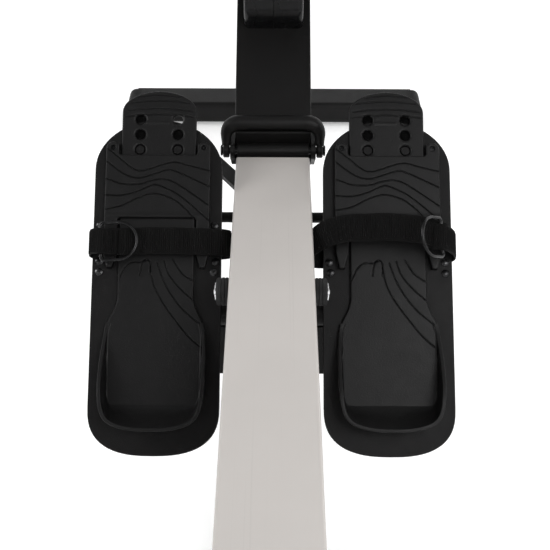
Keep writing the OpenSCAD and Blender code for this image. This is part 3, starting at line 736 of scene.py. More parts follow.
def heel_bed(side, name):
    """The sliding bed and its tab: peg holes, finger ridges at the tip and a fan of grooves on the bed."""
    fans = [smooth_line(line, 8) for line in BED_LINES]
    ridges = []
    for s, reach, bow in ((203, 22, 2.4), (196.5, 31, 2), (188.5, 34, 2.8), (182, 35, 2.6)):
        ridges.append([(x, s - bow * (x / reach) ** 2) for x in np.linspace(-reach, reach, 15)])
    bar = [(-12, 173), (9, 173)]
    holes = [(x, s, PEG_R) for x in (-PEG_X, PEG_X) for s in PEG_ROWS]

    def top(x, y, inset):
        height = REST_TOP - rounded_edge(inset, 1.3)
        height -= sum(groove(x, y, line, 1.5, 1.0) for line in fans)
        height -= sum(groove(x, y, line, 1.9, 0.9) for line in ridges)
        height += groove(x, y, bar, 3.2, 0.5)
        for hole_x, hole_y, _ in holes:
            ring = np.hypot(x - hole_x, y - hole_y)
            height -= 0.5 * np.clip((7.2 - ring) / 1.2, 0, 1)
        return height

    def bottom(x, y):
        return np.full(len(x), 0.3)

    outline = rest_outline(38.3, 12.2, 50.5)
    return slab(name, outline, holes, top, bottom, 0.55, plate_frame(side))


def loft(name, rings, place, limit=40):
    """Joins closed rings that have the same number of points."""
    verts = [v for ring in rings for v in ring]
    return new_piece(name, verts, skin(len(rings), len(rings[0])), place, limit)


def heel_cup(side, name):
    """The flared wall round the heel, rising from the bed's waist to its full height at the back."""
    rim = [
        (48.5, -34), (50.5, -46), (52, -72), (51.5, -100), (48.5, -122), (40, -134), (22, -140),
        (0, -141.5)
    ]
    foot = [
        (48, -34), (50.5, -46), (50.5, -72), (50.3, -100), (48.5, -113), (42, -119.5), (22, -120.6),
        (0, -120.6)
    ]
    rim = smooth_line(rim + [(-x, y) for x, y in rim[::-1][1:]], 6)
    foot = smooth_line(foot + [(-x, y) for x, y in foot[::-1][1:]], 6)
    ahead = np.gradient(np.array(rim), axis=0)
    ahead /= np.linalg.norm(ahead, axis=1)[:, None]
    wall = 3.6
    rings = []
    for (rx, ry), (fx, fy), (dx, dy) in zip(rim, foot, ahead):
        share = np.clip((-34 - ry) / 80, 0, 1)
        high = REST_TOP + 0.2 + (29.5 - REST_TOP) * share * share * (3 - 2 * share)
        ix, iy = dy, -dx
        round_top = min(0.8, (high - REST_TOP) / 2)
        section = [(fx, fy, 0.3), (fx, fy, 2)]
        for k in range(1, 4):
            t = k / 4
            section.append((fx + (rx - fx) * t, fy + (ry - fy) * t, 2 + (high - 2 - round_top) * t))
        turns = [radians(30 * k) for k in range(4)]
        edge = [(0.8 * (1 - cos(a)), high - round_top * (1 - sin(a))) for a in turns]
        edge += [(wall - reach, z) for reach, z in edge[::-1]]
        section += [(rx + ix * reach, ry + iy * reach, z) for reach, z in edge]
        for k in (3, 2, 1):
            t = k / 4
            x = fx + (rx - fx) * t + ix * wall
            y = fy + (ry - fy) * t + iy * wall
            section.append((x, y, 2 + (high - 2 - round_top) * t))
        for reach, z in ((wall + 0.5, REST_TOP + 0.6), (wall + 1.6, REST_TOP + 0.05), (wall + 1.6, 0.3)):
            section.append((fx + ix * reach, fy + iy * reach, z))
        rings.append(section)
    return loft(name, rings, plate_frame(side), 50)


def copied(piece, move):
    """The same piece again on the right-hand side."""
    made = piece.copy()
    made.data = piece.data.copy()
    made.data.transform(move)
    made.name = piece.name.replace("left", "right")
    bpy.context.scene.collection.objects.link(made)
    return made


def footplates():
    bed = heel_bed(-1, "heel_bed_left")
    cup = heel_cup(-1, "heel_cup_left")
    panel = toe_panel(-1, "toe_panel_left")
    across = plate_frame(1) @ plate_frame(-1).inverted()
    pieces = {"left": (bed, cup, panel), "right": [copied(piece, across) for piece in (bed, cup, panel)]}
    for name, side in SIDES.items():
        soften("base_plate_" + name, 1.6)
        bed, cup, panel = pieces[name]
        place_piece(bed, "heel_" + name, "toe_plastic", ["heel_rest_" + name])
        place_piece(cup, "heel_" + name, "toe_plastic")
        place_piece(panel, "frame", "toe_plastic", ["toe_panels"])
        plate = plate_frame(side)
        rivets = [(-58, 17.5), (58, 17.5), (-58, 65.7), (58, 65.7), (side * 58, 28.5), (side * -59.4, 28.2)]
        for k, (x, s) in enumerate(rivets):
            profile = [(-2, 0), (-2, 2.5), (0.2, 4.2), (0.9, 3.9), (1.5, 2.4), (1.7, 0)]
            turned = plate @ Matrix.Translation((x, s, 0)) @ turn(-90, "Y")
            rivet = lathe(f"rivet_{name}_{k}", profile, turned, 20)
            place_piece(rivet, "frame", "bright_steel", material="black_steel")
        for k, x in enumerate((-PEG_X, PEG_X)):
            # Painted shade: a near-black disc under each middle peg hole stands for the shade inside it.
            turned = plate @ Matrix.Translation((x, PEG_ROWS[1], 0)) @ turn(-90, "Y")
            pocket = lathe(
                f"pocket_{name}_{k}", [(0.05, 0), (0.05, 5.8), (0.25, 5.8), (0.25, 0)], turned, 24
            )
            place_piece(pocket, "frame", "toe_plastic", material="pocket")
            if side < 0 < x:
                continue
            # Painted shade: a near-black block behind the peg hole nearest the tab's tip stands for the shade
            # behind it.
            low = (x - 7, 167, -3)
            high = (x + 7, 183.5, -0.1)
            shade_backing = block_piece(f"plate_tongue_{name}_{k}", low, high, plate, 0.8)
            place_piece(shade_backing, "frame", "moulded_black", material="pocket")


# ---- foot straps ----

STRAP_W = 27.5
RIB = 2.2


def ribbon(name, path, place, width=STRAP_W, thick=1.8, ribs=0.4):
    """A webbing band along a path of (x, s, h) points, with real ribs across it and plain selvedges."""
    p = np.array(smooth_line(path, 24), float)
    lengths = arc_lengths(p)
    samples = np.arange(0, lengths[-1], RIB / 4)
    p = np.stack([np.interp(samples, lengths, p[:, k]) for k in range(3)], 1)
    tangent = np.gradient(p, axis=0)
    tangent /= np.linalg.norm(tangent, axis=1)[:, None]
    across = np.array((0, 1, 0), float)
    sides = across - tangent * (tangent @ across)[:, None]
    sides /= np.linalg.norm(sides, axis=1)[:, None]
    ups = np.cross(sides, tangent)
    half = width / 2
    columns = [
        -half, -half + 0.3, -half + 1.6, -half + 2, -half / 2, 0, half / 2, half - 2, half - 1.6,
        half - 0.3, half
    ]
    edge = [0.2, 0.85, 0.85, 1, 1, 1, 1, 1, 0.85, 0.85, 0.2]
    ribbed = [0, 0, 0, 1, 1, 1, 1, 1, 0, 0, 0]
    spread = columns + columns[::-1]
    verts = []
    for k, length in enumerate(samples):
        swell = ribs * cos(2 * pi * length / RIB)
        rise = [e * thick / 2 + r * swell for e, r in zip(edge, ribbed)]
        for c, h in zip(spread, rise + [-h for h in rise[::-1]]):
            verts.append(tuple(p[k] + c * sides[k] + h * ups[k]))
    obj = new_piece(name, verts, skin(len(samples), len(spread)), place, 60, weighted=False)
    lay_along(obj, spread, samples)
    return obj


def stitches(name, path, place, body, stitch=2.4, gap=1.2, r=0.32, material="thread", slot="webbing"):
    """A row of short thread stitches along a path."""
    p = np.array(path, float)
    lengths = arc_lengths(p)
    verts = []
    faces = []
    start = 0.0
    while start + stitch < lengths[-1]:
        spots = [start + stitch * t for t in (0, 0.12, 0.5, 0.88, 1)]
        centres = np.stack([np.interp(spots, lengths, p[:, k]) for k in range(3)], 1)
        ahead = centres[-1] - centres[0]
        ahead /= np.linalg.norm(ahead)
        side = np.cross(ahead, (0.3, 0.2, 0.93))
        side /= np.linalg.norm(side)
        up = np.cross(side, ahead)
        first = len(verts)
        for centre, grow in zip(centres, (0.3, 0.85, 1, 0.85, 0.3)):
            for a, b in round_bar(r, 6):
                verts.append(tuple(centre + grow * (a * side + b * up)))
        faces += [tuple(first + corner for corner in face) for face in skin(5, 6)]
        start += stitch + gap
    obj = new_piece(name, verts, faces, place, 60, weighted=False)
    return place_piece(obj, body, slot, material=material)


def foot_straps():
    """A band comes up on the rail side and lies over the foot; a short one holds the ring outside."""
    low = -18
    bands = {
        "left": [
            (8, 48, low), (40, 48, low), (62, 47.5, -17), (72, 47, -10), (74, 47, 0), (68, 46.5, 9),
            (55, 46.5, 12.2), (44, 46.5, 14.8), (33, 46.8, 13.6), (20, 47, 15.6), (8, 47, 14.4), (-6, 47, 16),
            (-18, 46.5, 14.8), (-30, 46, 16.2), (-40, 46, 15.4), (-47, 46, 16.4),
        ],
        "right": [
            (-8, 45, low), (-40, 42, low), (-62, 39, -17), (-74, 38, -9), (-77.5, 40, 4), (-76, 45, 17),
            (-66, 51, 28), (-52, 55, 33.5), (-38, 56.6, 37), (-24, 57, 36.6), (-10, 57.2, 39.4),
            (6, 56.6, 39.4), (18, 56, 37.8), (30, 54.5, 37.6), (41, 52, 34.5), (50, 49, 33),
        ],
    }
    anchors = {
        "left": [
            (-8, 46, low), (-40, 46, low), (-58, 46, -17), (-66.5, 46, -9), (-67.3, 46, 2), (-65, 46, 12),
            (-59.5, 45.5, 20), (-54, 45, 24), (-48, 45, 22.4), (-43, 45, 18.6), (-38, 45, 18),
        ],
        "right": [
            (8, 46, low), (40, 46, low), (59, 45, -17), (65.8, 44, -9), (67, 44, 4), (65, 45, 15),
            (60, 46, 26), (54, 47, 35), (49, 47.5, 38.6), (44, 48, 36.6), (41, 48.5, 34.2),
        ],
    }
    for name, side in SIDES.items():
        place = plate_frame(side)
        band = ribbon("foot_strap_" + name, bands[name], place)
        place_piece(band, "frame", "webbing", ["foot_strap_" + name])
        anchor = ribbon("strap_anchor_" + name, anchors[name], place, width=26)
        place_piece(anchor, "frame", "webbing")
        for k, edge in enumerate((-11.5, 11.5)):
            over = [(x, s + edge, h + 1.2) for x, s, h in smooth_line(bands[name][7:], 24)]
            stitches(f"strap_stitch_{name}_{k}", over, place, "frame", material="webbing")


def strap_rings():
    """Wire D-rings; their straight bars lie in the anchor loops."""
    spots = {"left": (-53.5, 44.5, 21, 0, 3), "right": (49, 47.5, 36, 130, -6)}
    half = 19
    out = 17
    corner = 4
    for name, side in SIDES.items():
        x, s, h, tilt, yaw = spots[name]
        place = plate_frame(side) @ Matrix.Translation((x, s, h)) @ turn(-tilt, "Y") @ turn(yaw, "Z")
        line = [(0, y, 0) for y in np.linspace(-half + corner, half - corner, 12)]
        line += [(corner - a, half - corner + b, 0) for a, b in arc(0, 0, corner, 0, 90, 5)[1:]]
        line += [(px, half, 0) for px in np.linspace(corner, out, 6)[1:]]
        line += [(out + b, a, 0) for a, b in arc(0, 0, half, 0, 180, 32)[1:]]
        line += [(px, -half, 0) for px in np.linspace(out, corner, 6)[1:]]
        line += [(corner - b, -half + corner - a, 0) for a, b in arc(0, 0, corner, 0, 90, 5)[1:-1]]
        section = round_bar(1.7, 13)
        ring = sweep("strap_ring_look_" + name, line, section, place, up=(0, 0, 1), closed=True)
        place_piece(ring, "ring_" + name, "bright_steel", ["strap_ring_" + name], "black_steel")


# ---- frame, rail and small hardware ----


def plain_nodes():
    """Every CAD node that still shows gets the material of its slot; the screws and hinge pin get black
    steel.
    """
    for part in frame["record"]["subparts"]:
        node = frame["nodes"][part["node"]]
        node.data.materials.clear()
        dark = part["node"] in ("screws", "hinge_pin")
        node.data.materials.append(MATERIALS["black_steel" if dark else part["material_slot"]])


EDGE_WIDTHS = {
    "main_beam": 1.4, "mast": 2.2, "front_leg": 2.0, "hinge_ears": 0.9,
    "wheel_bracket": 0.7, "footplate_saddle": 1.3, "support_rod": 0.6, "handle_rest": 1.6, "console_arm": 1.6,
    "rear_leg": 1.4, "rail_end_cap": 2.2, "rail_front_bracket": 1.2, "seat_carriage": 0.8, "seat_base": 1.2,
    "release_lever": 1.2, "tension_knob": 1.0, "handle_yoke": 1.4, "hinge_pin": 0.7, "front_rollers": 0.9,
    "rear_rollers": 0.9, "housing_left": 2.4, "housing_right": 2.4, "console_case": 2.2, "drive_frame": 0.5,
    "brake_arm": 0.5, "mode_button": 0.9, "reset_button": 0.9, "strap_roller": 0.6,
}


def softened_nodes():
    for node, width in EDGE_WIDTHS.items():
        soften(node, width, "black_steel" if node == "hinge_pin" else None)


def carve(obj, cutters):
    """Cuts closed pieces out of obj and removes them."""
    for cutter in cutters:
        cut = obj.modifiers.new("cut", "BOOLEAN")
        cut.operation = "DIFFERENCE"
        cut.object = cutter
    apply_modifiers(obj)
    for cutter in cutters:
        bpy.data.objects.remove(cutter)
    return obj


def prism(name, outline, x0, x1, place, round_edges=0.0, segments=4):
    """An outline in Y and Z, extruded along X, with rounded edges."""
    count = len(outline)
    verts = [(x0, y, z) for y, z in outline] + [(x1, y, z) for y, z in outline]
    faces = [tuple(range(count)), tuple(range(2 * count - 1, count - 1, -1))]
    faces += [(k, (k + 1) % count, count + (k + 1) % count, count + k) for k in range(count)]
    obj = new_piece(name, verts, faces, place, weighted=False)
    if round_edges:
        bevel = obj.modifiers.new("edges", "BEVEL")
        bevel.width = round_edges * MM
        bevel.segments = segments
        bevel.limit_method = "ANGLE"
        bevel.angle_limit = radians(25)
        apply_modifiers(obj)
    return shade_piece(obj)


def block_piece(name, low, high, place, round_edges=0.0):
    outline = [(low[1], low[2]), (high[1], low[2]), (high[1], high[2]), (low[1], high[2])]
    return prism(name, outline, low[0], high[0], place, round_edges)


def round_bar(r, sides):
    """A round section."""
    return [(r * cos(2 * pi * k / sides), r * sin(2 * pi * k / sides)) for k in range(sides)]


def cross_tube_look():
    """The footplates' cross tube with a plastic plug in each end."""
    place = RAIL @ Matrix.Translation((0, -150.1, -92.8))
    profile = [(-172, 0), (-172, 11.4), (-170.9, 12.5), (170.9, 12.5), (172, 11.4), (172, 0)]
    place_piece(lathe("cross_tube_look", profile, place), "frame", "frame_black", ["cross_tube"])
    for name, side in SIDES.items():
        profile = [(166, 0), (166, 12.9), (171, 12.9), (172.6, 11.3), (172.6, 0)]
        turned_part("cross_tube_plug_" + name, side, profile, place, "frame", "moulded_black")


def stabilizer_feet():
    """Round-cornered caps on the stabilizers' ends, with soles under them."""
    rows = {"front": (668, 266.5), "middle": (-332, 200), "rear": (-1348, 210)}
    for row, (y, half) in rows.items():
        body = "rail" if row == "rear" else "frame"
        node = "rear_end_caps" if row == "rear" else "frame_end_caps"
        for name, side in SIDES.items():
            place = RAIL @ Matrix.Translation((0, y, FLOOR))
            outline = [(-32.5, 0.6), (32.5, 0.6), (32.5, 50), (-32.5, 50)]
            cap = prism(f"cap_{row}_{name}", outline, side * (half - 36), side * half, place, 13, 7)
            hollow = [(-31, 5), (31, 5), (31, 48.4), (-31, 48.4)]
            inner = prism("inner", hollow, side * (half - 40), side * (half - 22), place)
            carve(cap, [inner])
            shade_piece(cap)
            place_piece(cap, body, "moulded_black", [node])
        for name, side in SIDES.items():
            place = RAIL @ Matrix.Translation((side * (half - 8), y, FLOOR))
            outline = arc(-24, 3.2, 3, 90, 270, 5) + arc(24, 3.2, 3, -90, 90, 5)
            sole = prism(f"sole_{row}_{name}", outline, -7, 7, place, 0.8)
            place_piece(sole, body, "rubber")


def stop_bumpers():
    """Rubber bumpers with a steel washer, on a rod across the rail before and behind the seat."""
    for row, y in (("front", -200), ("rear", -1372)):
        place = RAIL @ Matrix.Translation((0, y, -20))
        profile = [(-54.4, 0), (-54.4, 3.6), (-53.4, 4.7), (53.4, 4.7), (54.4, 3.6), (54.4, 0)]
        place_piece(lathe("stop_rod_" + row, profile, place), "rail", "bright_steel", ["seat_stops"])
        for name, side in SIDES.items():
            turned = [(40.4, 0), (40.4, 12.2), (41.6, 13.4)]
            for x in (43.8, 47.2):
                turned += [(x - 0.6, 13.4), (x - 0.2, 12.7), (x + 0.2, 12.7), (x + 0.6, 13.4)]
            turned += [(50.4, 13.4), (51.6, 12.6), (52.2, 11), (52.2, 0)]
            turned_part(f"stop_bumper_{row}_{name}", side, turned, place, "rail", "rubber")
            turned = [(51.8, 0), (51.8, 9.2), (52.2, 9.6), (53, 9.6), (53.4, 9.2), (53.4, 0)]
            turned_part(f"stop_washer_{row}_{name}", side, turned, place, "rail", "bright_steel")


def wheels_look():
    """Transport wheels with a grooved tyre on a spoked hub."""
    place = RAIL @ Matrix.Translation((0, 731.5, -316))
    for name, side in SIDES.items():
        tyre = [
            (32, 20), (32, 26), (34, 27.9), (36.6, 27.9), (37, 27.1), (37.5, 27.1), (37.9, 27.9),
            (42.1, 27.9)
        ]
        tyre += [(42.5, 27.1), (43, 27.1), (43.4, 27.9), (46, 27.9), (48, 26), (48, 20)]
        turned_part("tyre_" + name, side, tyre, place, "wheels", "rubber", ["transport_wheels"])
        hub = [(34, 4.1), (34, 8.5), (35, 9), (36.5, 18), (35.5, 20.5)]
        hub += [(44.5, 20.5), (43.5, 18), (45, 9), (46.5, 8.5), (46.5, 4.1)]
        turned_part("wheel_hub_" + name, side, hub, place, "wheels", "moulded_black")


def bail_look():
    """The folding lock's bent bar, thick across and thin in its legs, with an eye at each end."""
    ahead = 10.5
    rise = 29
    reach = np.hypot(rise, ahead)
    place = RAIL @ Matrix.Translation((0, 17, -2)) @ turn(np.degrees(np.arctan2(rise, ahead)), "X")
    x = 51.3
    bend = 15
    line = [(-x, y, 0) for y in np.linspace(6, reach - bend, 6)]
    line += [(-x + bend + a, reach - bend + b, 0) for a, b in arc(0, 0, bend, 180, 90, 12)[1:]]
    line += [(a, reach, 0) for a in np.linspace(-x + bend, x - bend, 14)[1:]]
    line += [(x - bend + a, reach - bend + b, 0) for a, b in arc(0, 0, bend, 90, 0, 12)[1:]]
    line += [(x, y, 0) for y in np.linspace(reach - bend, 6, 6)[1:]]
    path = np.array(line)
    scales = 0.6 + 0.4 * np.clip((path[:, 1] - 8) / (reach - 12), 0, 1) ** 1.5
    bar = sweep("lock_bail_look", line, round_bar(8.5, 24), place, up=(0, 0, 1), scales=scales)
    place_piece(bar, "bail", "frame_black", ["lock_bail"])
    for name, side in SIDES.items():
        profile = [(48, 4.1), (48, 7), (49, 8), (53.8, 8), (54.8, 7), (54.8, 4.1)]
        turned_part("bail_eye_" + name, side, profile, place, "bail", "frame_black")


COVER_LINE = [(140.7, 0), (141.7, 14), (145.7, 24), (170.7, 44), (200.7, 62), (262, 66), (262, 0)]


def strap_cover_look():
    """Two rounded shells that meet on the mast's middle, with a slot where the pull strap comes out."""
    inner = [(146, -2), (147, 12), (151, 21), (174, 40), (202, 57), (264, 61), (264, -2)]
    for name, side in SIDES.items():
        shell = prism("strap_cover_look_" + name, COVER_LINE, side * 0.25, side * 33.4, MAST)
        bevel = shell.modifiers.new("edges", "BEVEL")
        bevel.width = 0.009
        bevel.segments = 6
        bevel.limit_method = "WEIGHT"
        weights = shell.data.attributes.new("bevel_weight_edge", "FLOAT", "EDGE")
        to_mast = MAST.inverted()
        for edge in shell.data.edges:
            a, b = (to_mast @ shell.data.vertices[v].co for v in edge.vertices)
            across = abs(a.x - b.x) > 1
            outer = min(abs(a.x), abs(b.x)) > 20 and max(a.z, b.z) > 3
            top = min(a.z, b.z) > 8
            end = min(a.y, b.y) > 255
            if end:
                continue
            weights.data[edge.index].value = 1.0 if outer else (0.9 if across and top else 0.0)
        apply_modifiers(shell)
        cavity = prism("cavity", inner, -1, side * 30.2, MAST)
        slot = block_piece("slot", (-15.5, 166, 30), (15.5, 206, 90), MAST, 2.5)
        carve(shell, [cavity, slot])
        shade_piece(shell, 35)
        place_piece(shell, "frame", "gloss_black", ["strap_cover_" + name])


# ---- handle and pull strap ----


def pull_webbing():
    """The pull strap's webbing. Its weave lies on the machine's lengthwise axis."""
    p = Paint("pull_webbing", (0.004, 0.0038, 0.0038), 0.78, specular=0.12, sheen=0.03)
    warp = p.wave(p.axis("X"), 0.0016)
    weft = p.wave(p.axis("Y"), 0.0018)
    p.mottle(1400, 3, 0.4, 0.75, (0.009, 0.0087, 0.0087))
    # Painted highlight: the weave's crests, where warp and weft rise together, are coloured lighter.
    p.tint(p.scaled(p.sum(warp, weft, "MULTIPLY"), 0.2, 1, 0, 0.6), (0.013, 0.0127, 0.0127))
    p.bump(warp, 0.0001)
    p.bump(weft, 0.00014)
    return p.material


MATERIALS["pull_webbing"] = pull_webbing()
HOLD = (0, 118, 172)


def handle_look():
    place = RAIL @ Matrix.Translation(HOLD)
    bar = [(-225, 0), (-225, 12.3), (225, 12.3), (225, 0)]
    place_piece(lathe("handle_bar_look", bar, place), "handle", "frame_black", ["handle_bar"])
    for name, side in SIDES.items():
        profile = [(70, 12.4), (70, 14.6), (71.5, 16.4), (74, 17)]
        for k in range(9):
            x = 86 + 15 * k
            profile += [(x - 2.2, 17), (x - 1.2, 16.2), (x + 1.2, 16.2), (x + 2.2, 17)]
        profile += [(222, 17), (225, 15.8), (226, 13.9), (226, 12.4)]
        turned_part("grip_" + name, side, profile, place, "handle", "foam", ["handle_grips"], limit=50)
        profile = [
            (225.6, 0), (225.6, 13.8), (226.6, 14.4), (228.4, 14.1), (229.6, 12.4), (230, 9), (230, 0)
        ]
        turned_part("grip_cap_" + name, side, profile, place, "handle", "moulded_black")
        profile = [(63, 12.4), (63, 14.2), (64, 14.8), (69, 14.8), (70, 14.2), (70, 12.4)]
        turned_part("grip_collar_" + name, side, profile, place, "handle", "moulded_black")


def pull_strap_look():
    """From the yoke's slot over the roller and on to the reel."""
    line = [
        (0, 138, 172.2), (0, 143, 171.2), (0, 149, 167.6), (0, 154, 164), (0, 159, 162.9), (0, 165, 163.6),
        (0, 180, 168.4), (0, 230, 188.4), (0, 280, 208.6), (0, 304, 218.4), (0, 315, 221.2),
    ]
    path = np.array(smooth_line(line, 12))
    section = [
        (-12, -0.9), (-11.4, -1.1), (11.4, -1.1), (12, -0.9), (12, 0.9), (11.4, 1.1), (-11.4, 1.1),
        (-12, 0.9)
    ]
    strap = sweep("pull_strap_look", path, section, RAIL, up=(0, 0, 1))
    strap.modifiers.clear()
    strap.data.materials.append(MATERIALS["pull_webbing"])
    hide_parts("pull_strap")
    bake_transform(strap)
    bend = [(0, 141, 174.6), (0, 136, 175), (0, 132, 172), (0, 136, 169.4), (0, 141, 169.8)]
    loop = sweep("strap_loop", smooth_line(bend, 8), section, RAIL, up=(0, -0.5, 1))
    loop.modifiers.clear()
    place_piece(loop, "handle", "webbing", material="pull_webbing")


# ---- seat, in metres ----


def ray_to(tree, start, aim):
    """Where a ray from start towards aim first meets a piece, in metres."""
    start = Vector(start)
    direction = Vector(aim) - start
    hit = tree.ray_cast(start, direction.normalized())[0]
    return hit if hit is not None else Vector(aim)


def seat_cushion():
    """A foam cushion: a smaller slab swollen by a cloth simulation, then dished for the rider."""
    low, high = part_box("seat_pad")
    centre = (low + high) / 2
    half = (high - low) / 2
    slab_half = Vector((half.x - 0.009, half.y - 0.009, half.z - 0.007))
    corner = 0.05
    outline = []
    for cx, cy, start in ((1, 1, 0), (-1, 1, 90), (-1, -1, 180), (1, -1, 270)):
        middle = (cx * (slab_half.x - corner), cy * (slab_half.y - corner))
        outline += arc(middle[0], middle[1], corner, start, start + 90, 10)
    rings = []
    for inset, z in ((0.02, -1), (0.004, -0.86), (0, -0.4), (0, 0.3), (0.004, 0.8), (0.022, 1)):
        shrink = [(x * (1 - inset / slab_half.x), y * (1 - inset / slab_half.y)) for x, y in outline]
        rings.append([(x, y, z * slab_half.z) for x, y in shrink])
    pad = loft("seat_cushion", rings, Matrix.Translation(centre))
    pad.modifiers.clear()
    remesh = pad.modifiers.new("remesh", "REMESH")
    remesh.mode = "VOXEL"
    remesh.voxel_size = 0.006
    apply_modifiers(pad)
    rest = np.array([v.co for v in pad.data.vertices])
    group = pad.vertex_groups.new(name="held")
    held = [int(i) for i in np.nonzero(rest[:, 2] < low.z + 0.012)[0]]
    group.add(held, 1.0, "REPLACE")
    cloth = pad.modifiers.new("cloth", "CLOTH")
    cloth.settings.vertex_group_mass = "held"
    cloth.settings.use_pressure = True
    cloth.settings.uniform_pressure_force = 4
    cloth.settings.tension_stiffness = 25
    cloth.settings.compression_stiffness = 25
    cloth.settings.bending_stiffness = 3
    cloth.settings.quality = 6
    cloth.settings.effector_weights.gravity = 0
    for step in range(1, 21):
        bpy.context.scene.frame_set(step)
    apply_modifiers(pad)
    bpy.context.scene.frame_set(1)
    co = np.array([v.co for v in pad.data.vertices])
    move = co - rest
    length = np.linalg.norm(move, axis=1)
    co = rest + move * (np.minimum(length, 0.007) / np.maximum(length, 1e-9))[:, None]
    x = (co[:, 0] - centre.x) / half.x
    y = (co[:, 1] - centre.y) / half.y
    upper = np.clip((co[:, 2] - centre.z) / half.z, 0, 1)
    crown = 0.006 * np.clip(1 - x**2, 0, 1) * np.clip(1 - y**2, 0, 1)
    dishes = 0.011 * np.exp(-(((np.abs(x) - 0.42) / 0.3) ** 2) - ((y + 0.12) / 0.45) ** 2)
    channel = 0.007 * np.exp(-((x / 0.12) ** 2)) * np.clip((0.75 - y) / 0.5, 0, 1)
    lip = 0.006 * np.clip((-y - 0.55) / 0.35, 0, 1) * np.clip(1 - x**2, 0, 1)
    waist = 0.004 * (1 - np.abs((co[:, 2] - centre.z) / half.z)) ** 2
    co[:, 2] += upper * (crown - dishes - channel + lip)
    co[:, 0] -= np.sign(x) * waist * (np.abs(x) > 0.8)
    co[:, 1] -= np.sign(y) * waist * (np.abs(y) > 0.8)
    co[:, 2] = np.clip(co[:, 2], low.z, high.z + 0.006)
    for vertex, place in zip(pad.data.vertices, co):
        vertex.co = place
    smooth = pad.modifiers.new("smooth", "SMOOTH")
    smooth.iterations = 3
    finer = pad.modifiers.new("finer", "SUBSURF")
    finer.levels = 1
    finer.render_levels = 1
    apply_modifiers(pad)
    shade_piece(pad, 60, weighted=False)
    place_piece(pad, "seat", "seat_vinyl", ["seat_pad"])
    seat_seams(pad, centre, half)


def seat_seams(pad, centre, half):
    """Piping round the cushion's lower and upper edge, and stitched seams beside it and across the top."""
    bm = bmesh.new()
    bm.from_mesh(pad.data)
    bm.transform(pad.matrix_world)
    tree = BVHTree.FromBMesh(bm)
    bm.free()
    plain = Matrix.Identity(4)

    def round_line(z, reach=0.3, count=160):
        turns = [2 * pi * k / count for k in range(count)]
        rim = []
        for t in turns:
            start = (centre.x + reach * cos(t), centre.y + reach * sin(t), z)
            rim.append(tuple(ray_to(tree, start, (centre.x, centre.y, z))))
        return rim

    for name, height in (("lower", -0.74), ("upper", 0.42)):
        rim = round_line(centre.z + height * half.z)
        piping = sweep("seat_piping_" + name, rim, round_bar(0.0019, 10), plain, up=(0, 0, 1), closed=True)
        place_piece(piping, "seat", "seat_vinyl")
    top = centre.z + 0.1

    def seam(name, points):
        draped = [tuple(ray_to(tree, (px, py, top), (px, py, centre.z))) for px, py in points]
        stitches(name, draped, plain, "seat", 0.0042, 0.0022, 0.0005, slot="seat_vinyl")

    side = 0.62 * half.x
    steps = [k / 40 - 0.5 for k in range(41)]
    for name, sign in SIDES.items():
        run = [(centre.x + sign * (side + 0.012 * t**2), centre.y + t * 1.5 * half.y) for t in steps]
        seam("seat_stitch_" + name, run)
    back = centre.y + 0.66 * half.y
    seam(
        "seat_stitch_back",
        [(centre.x + t * 1.16 * half.x, back - 0.05 * half.y * (2 * t) ** 2) for t in steps]
    )


# ---- housing and console ----

HOUSING = (0, 436, 246)
KNOB_STEP = 141.4


def housing_look():
    """Dished side covers with rings and vents on the two shells, and a shadow line at their seam."""
    place = RAIL @ Matrix.Translation(HOUSING)
    for name, side in SIDES.items():
        profile = [
            (58, 0), (66, 0), (66.4, 8), (65.2, 24), (64.8, 60), (65.6, 66), (65.6, 74), (64.4, 80),
            (64, 118), (64.8, 124), (64.8, 130), (63.4, 136), (62.6, 168), (61.4, 171), (58, 171),
        ]
        dish = lathe("housing_dish_" + name, [(side * x, r) for x, r in profile], place, steps=128)
        vents = []
        for k in range(9):
            spot = place @ turn(200 + 17.5 * k, "X") @ Matrix.Translation((0, 100, 0))
            outline = arc(-13, 0, 2.6, 90, 270, 6) + arc(13, 0, 2.6, -90, 90, 6)
            vents.append(prism("vent", outline, side * 56, side * 70, spot))
        carve(dish, vents)
        shade_piece(dish, 30)
        place_piece(dish, "frame", "moulded_black")
        ring = [(65.3, 65.4), (66.5, 66.4), (66.9, 70), (66.5, 73.6), (65.3, 74.6)]
        turned_part("housing_ring_" + name, side, ring, place, "frame", "plated_steel", steps=128)
    seam = [(-1.1, 198.2), (-1.1, 200.4), (-0.5, 200.9), (0.5, 200.9), (1.1, 200.4), (1.1, 198.2)]
    bead = lathe("housing_seam", seam, place, steps=160)
    keep_out = block_piece("mast_gap", (-42.2, 0, -60.2), (42.2, 400, 60), MAST)
    carve(bead, [keep_out])
    shade_piece(bead, 30)
    place_piece(bead, "frame", "rubber")


def knob_marks():
    """A turned cap and a pointer line on the tension knob, and the scale behind it."""
    _, y, z = HOUSING
    spot = RAIL @ Matrix.Translation((0, y - KNOB_STEP, z + KNOB_STEP)) @ turn(45, "X")
    turned = spot @ turn(-90, "Y")
    cap = lathe(
        "knob_cap", [(26.4, 0), (26.4, 15), (27.2, 15.6), (27.8, 15), (28.2, 12), (28.3, 0)], turned
    )
    place_piece(cap, "knob", "gloss_black")
    line = block_piece("knob_pointer", (-1, 12.5, 26.9), (1, 22.5, 27.5), spot, 0.3)
    place_piece(line, "knob", "button", material="print")
    for k in range(9):
        tick_place = spot @ turn(-120 + 30 * k, "Z")
        tick = block_piece(
            f"tension_tick_{k}", (-0.8, 27, -1), (0.8, 27 + 3 + 0.6 * k, 1.4), tick_place, 0.3
        )
        place_piece(tick, "frame", "button", material="print")


DIGITS = {
    "0": "abcdef", "1": "bc", "2": "abged", "3": "abgcd", "4": "fgbc", "5": "afgcd", "6": "afgedc",
    "8": "abcdefg"
}


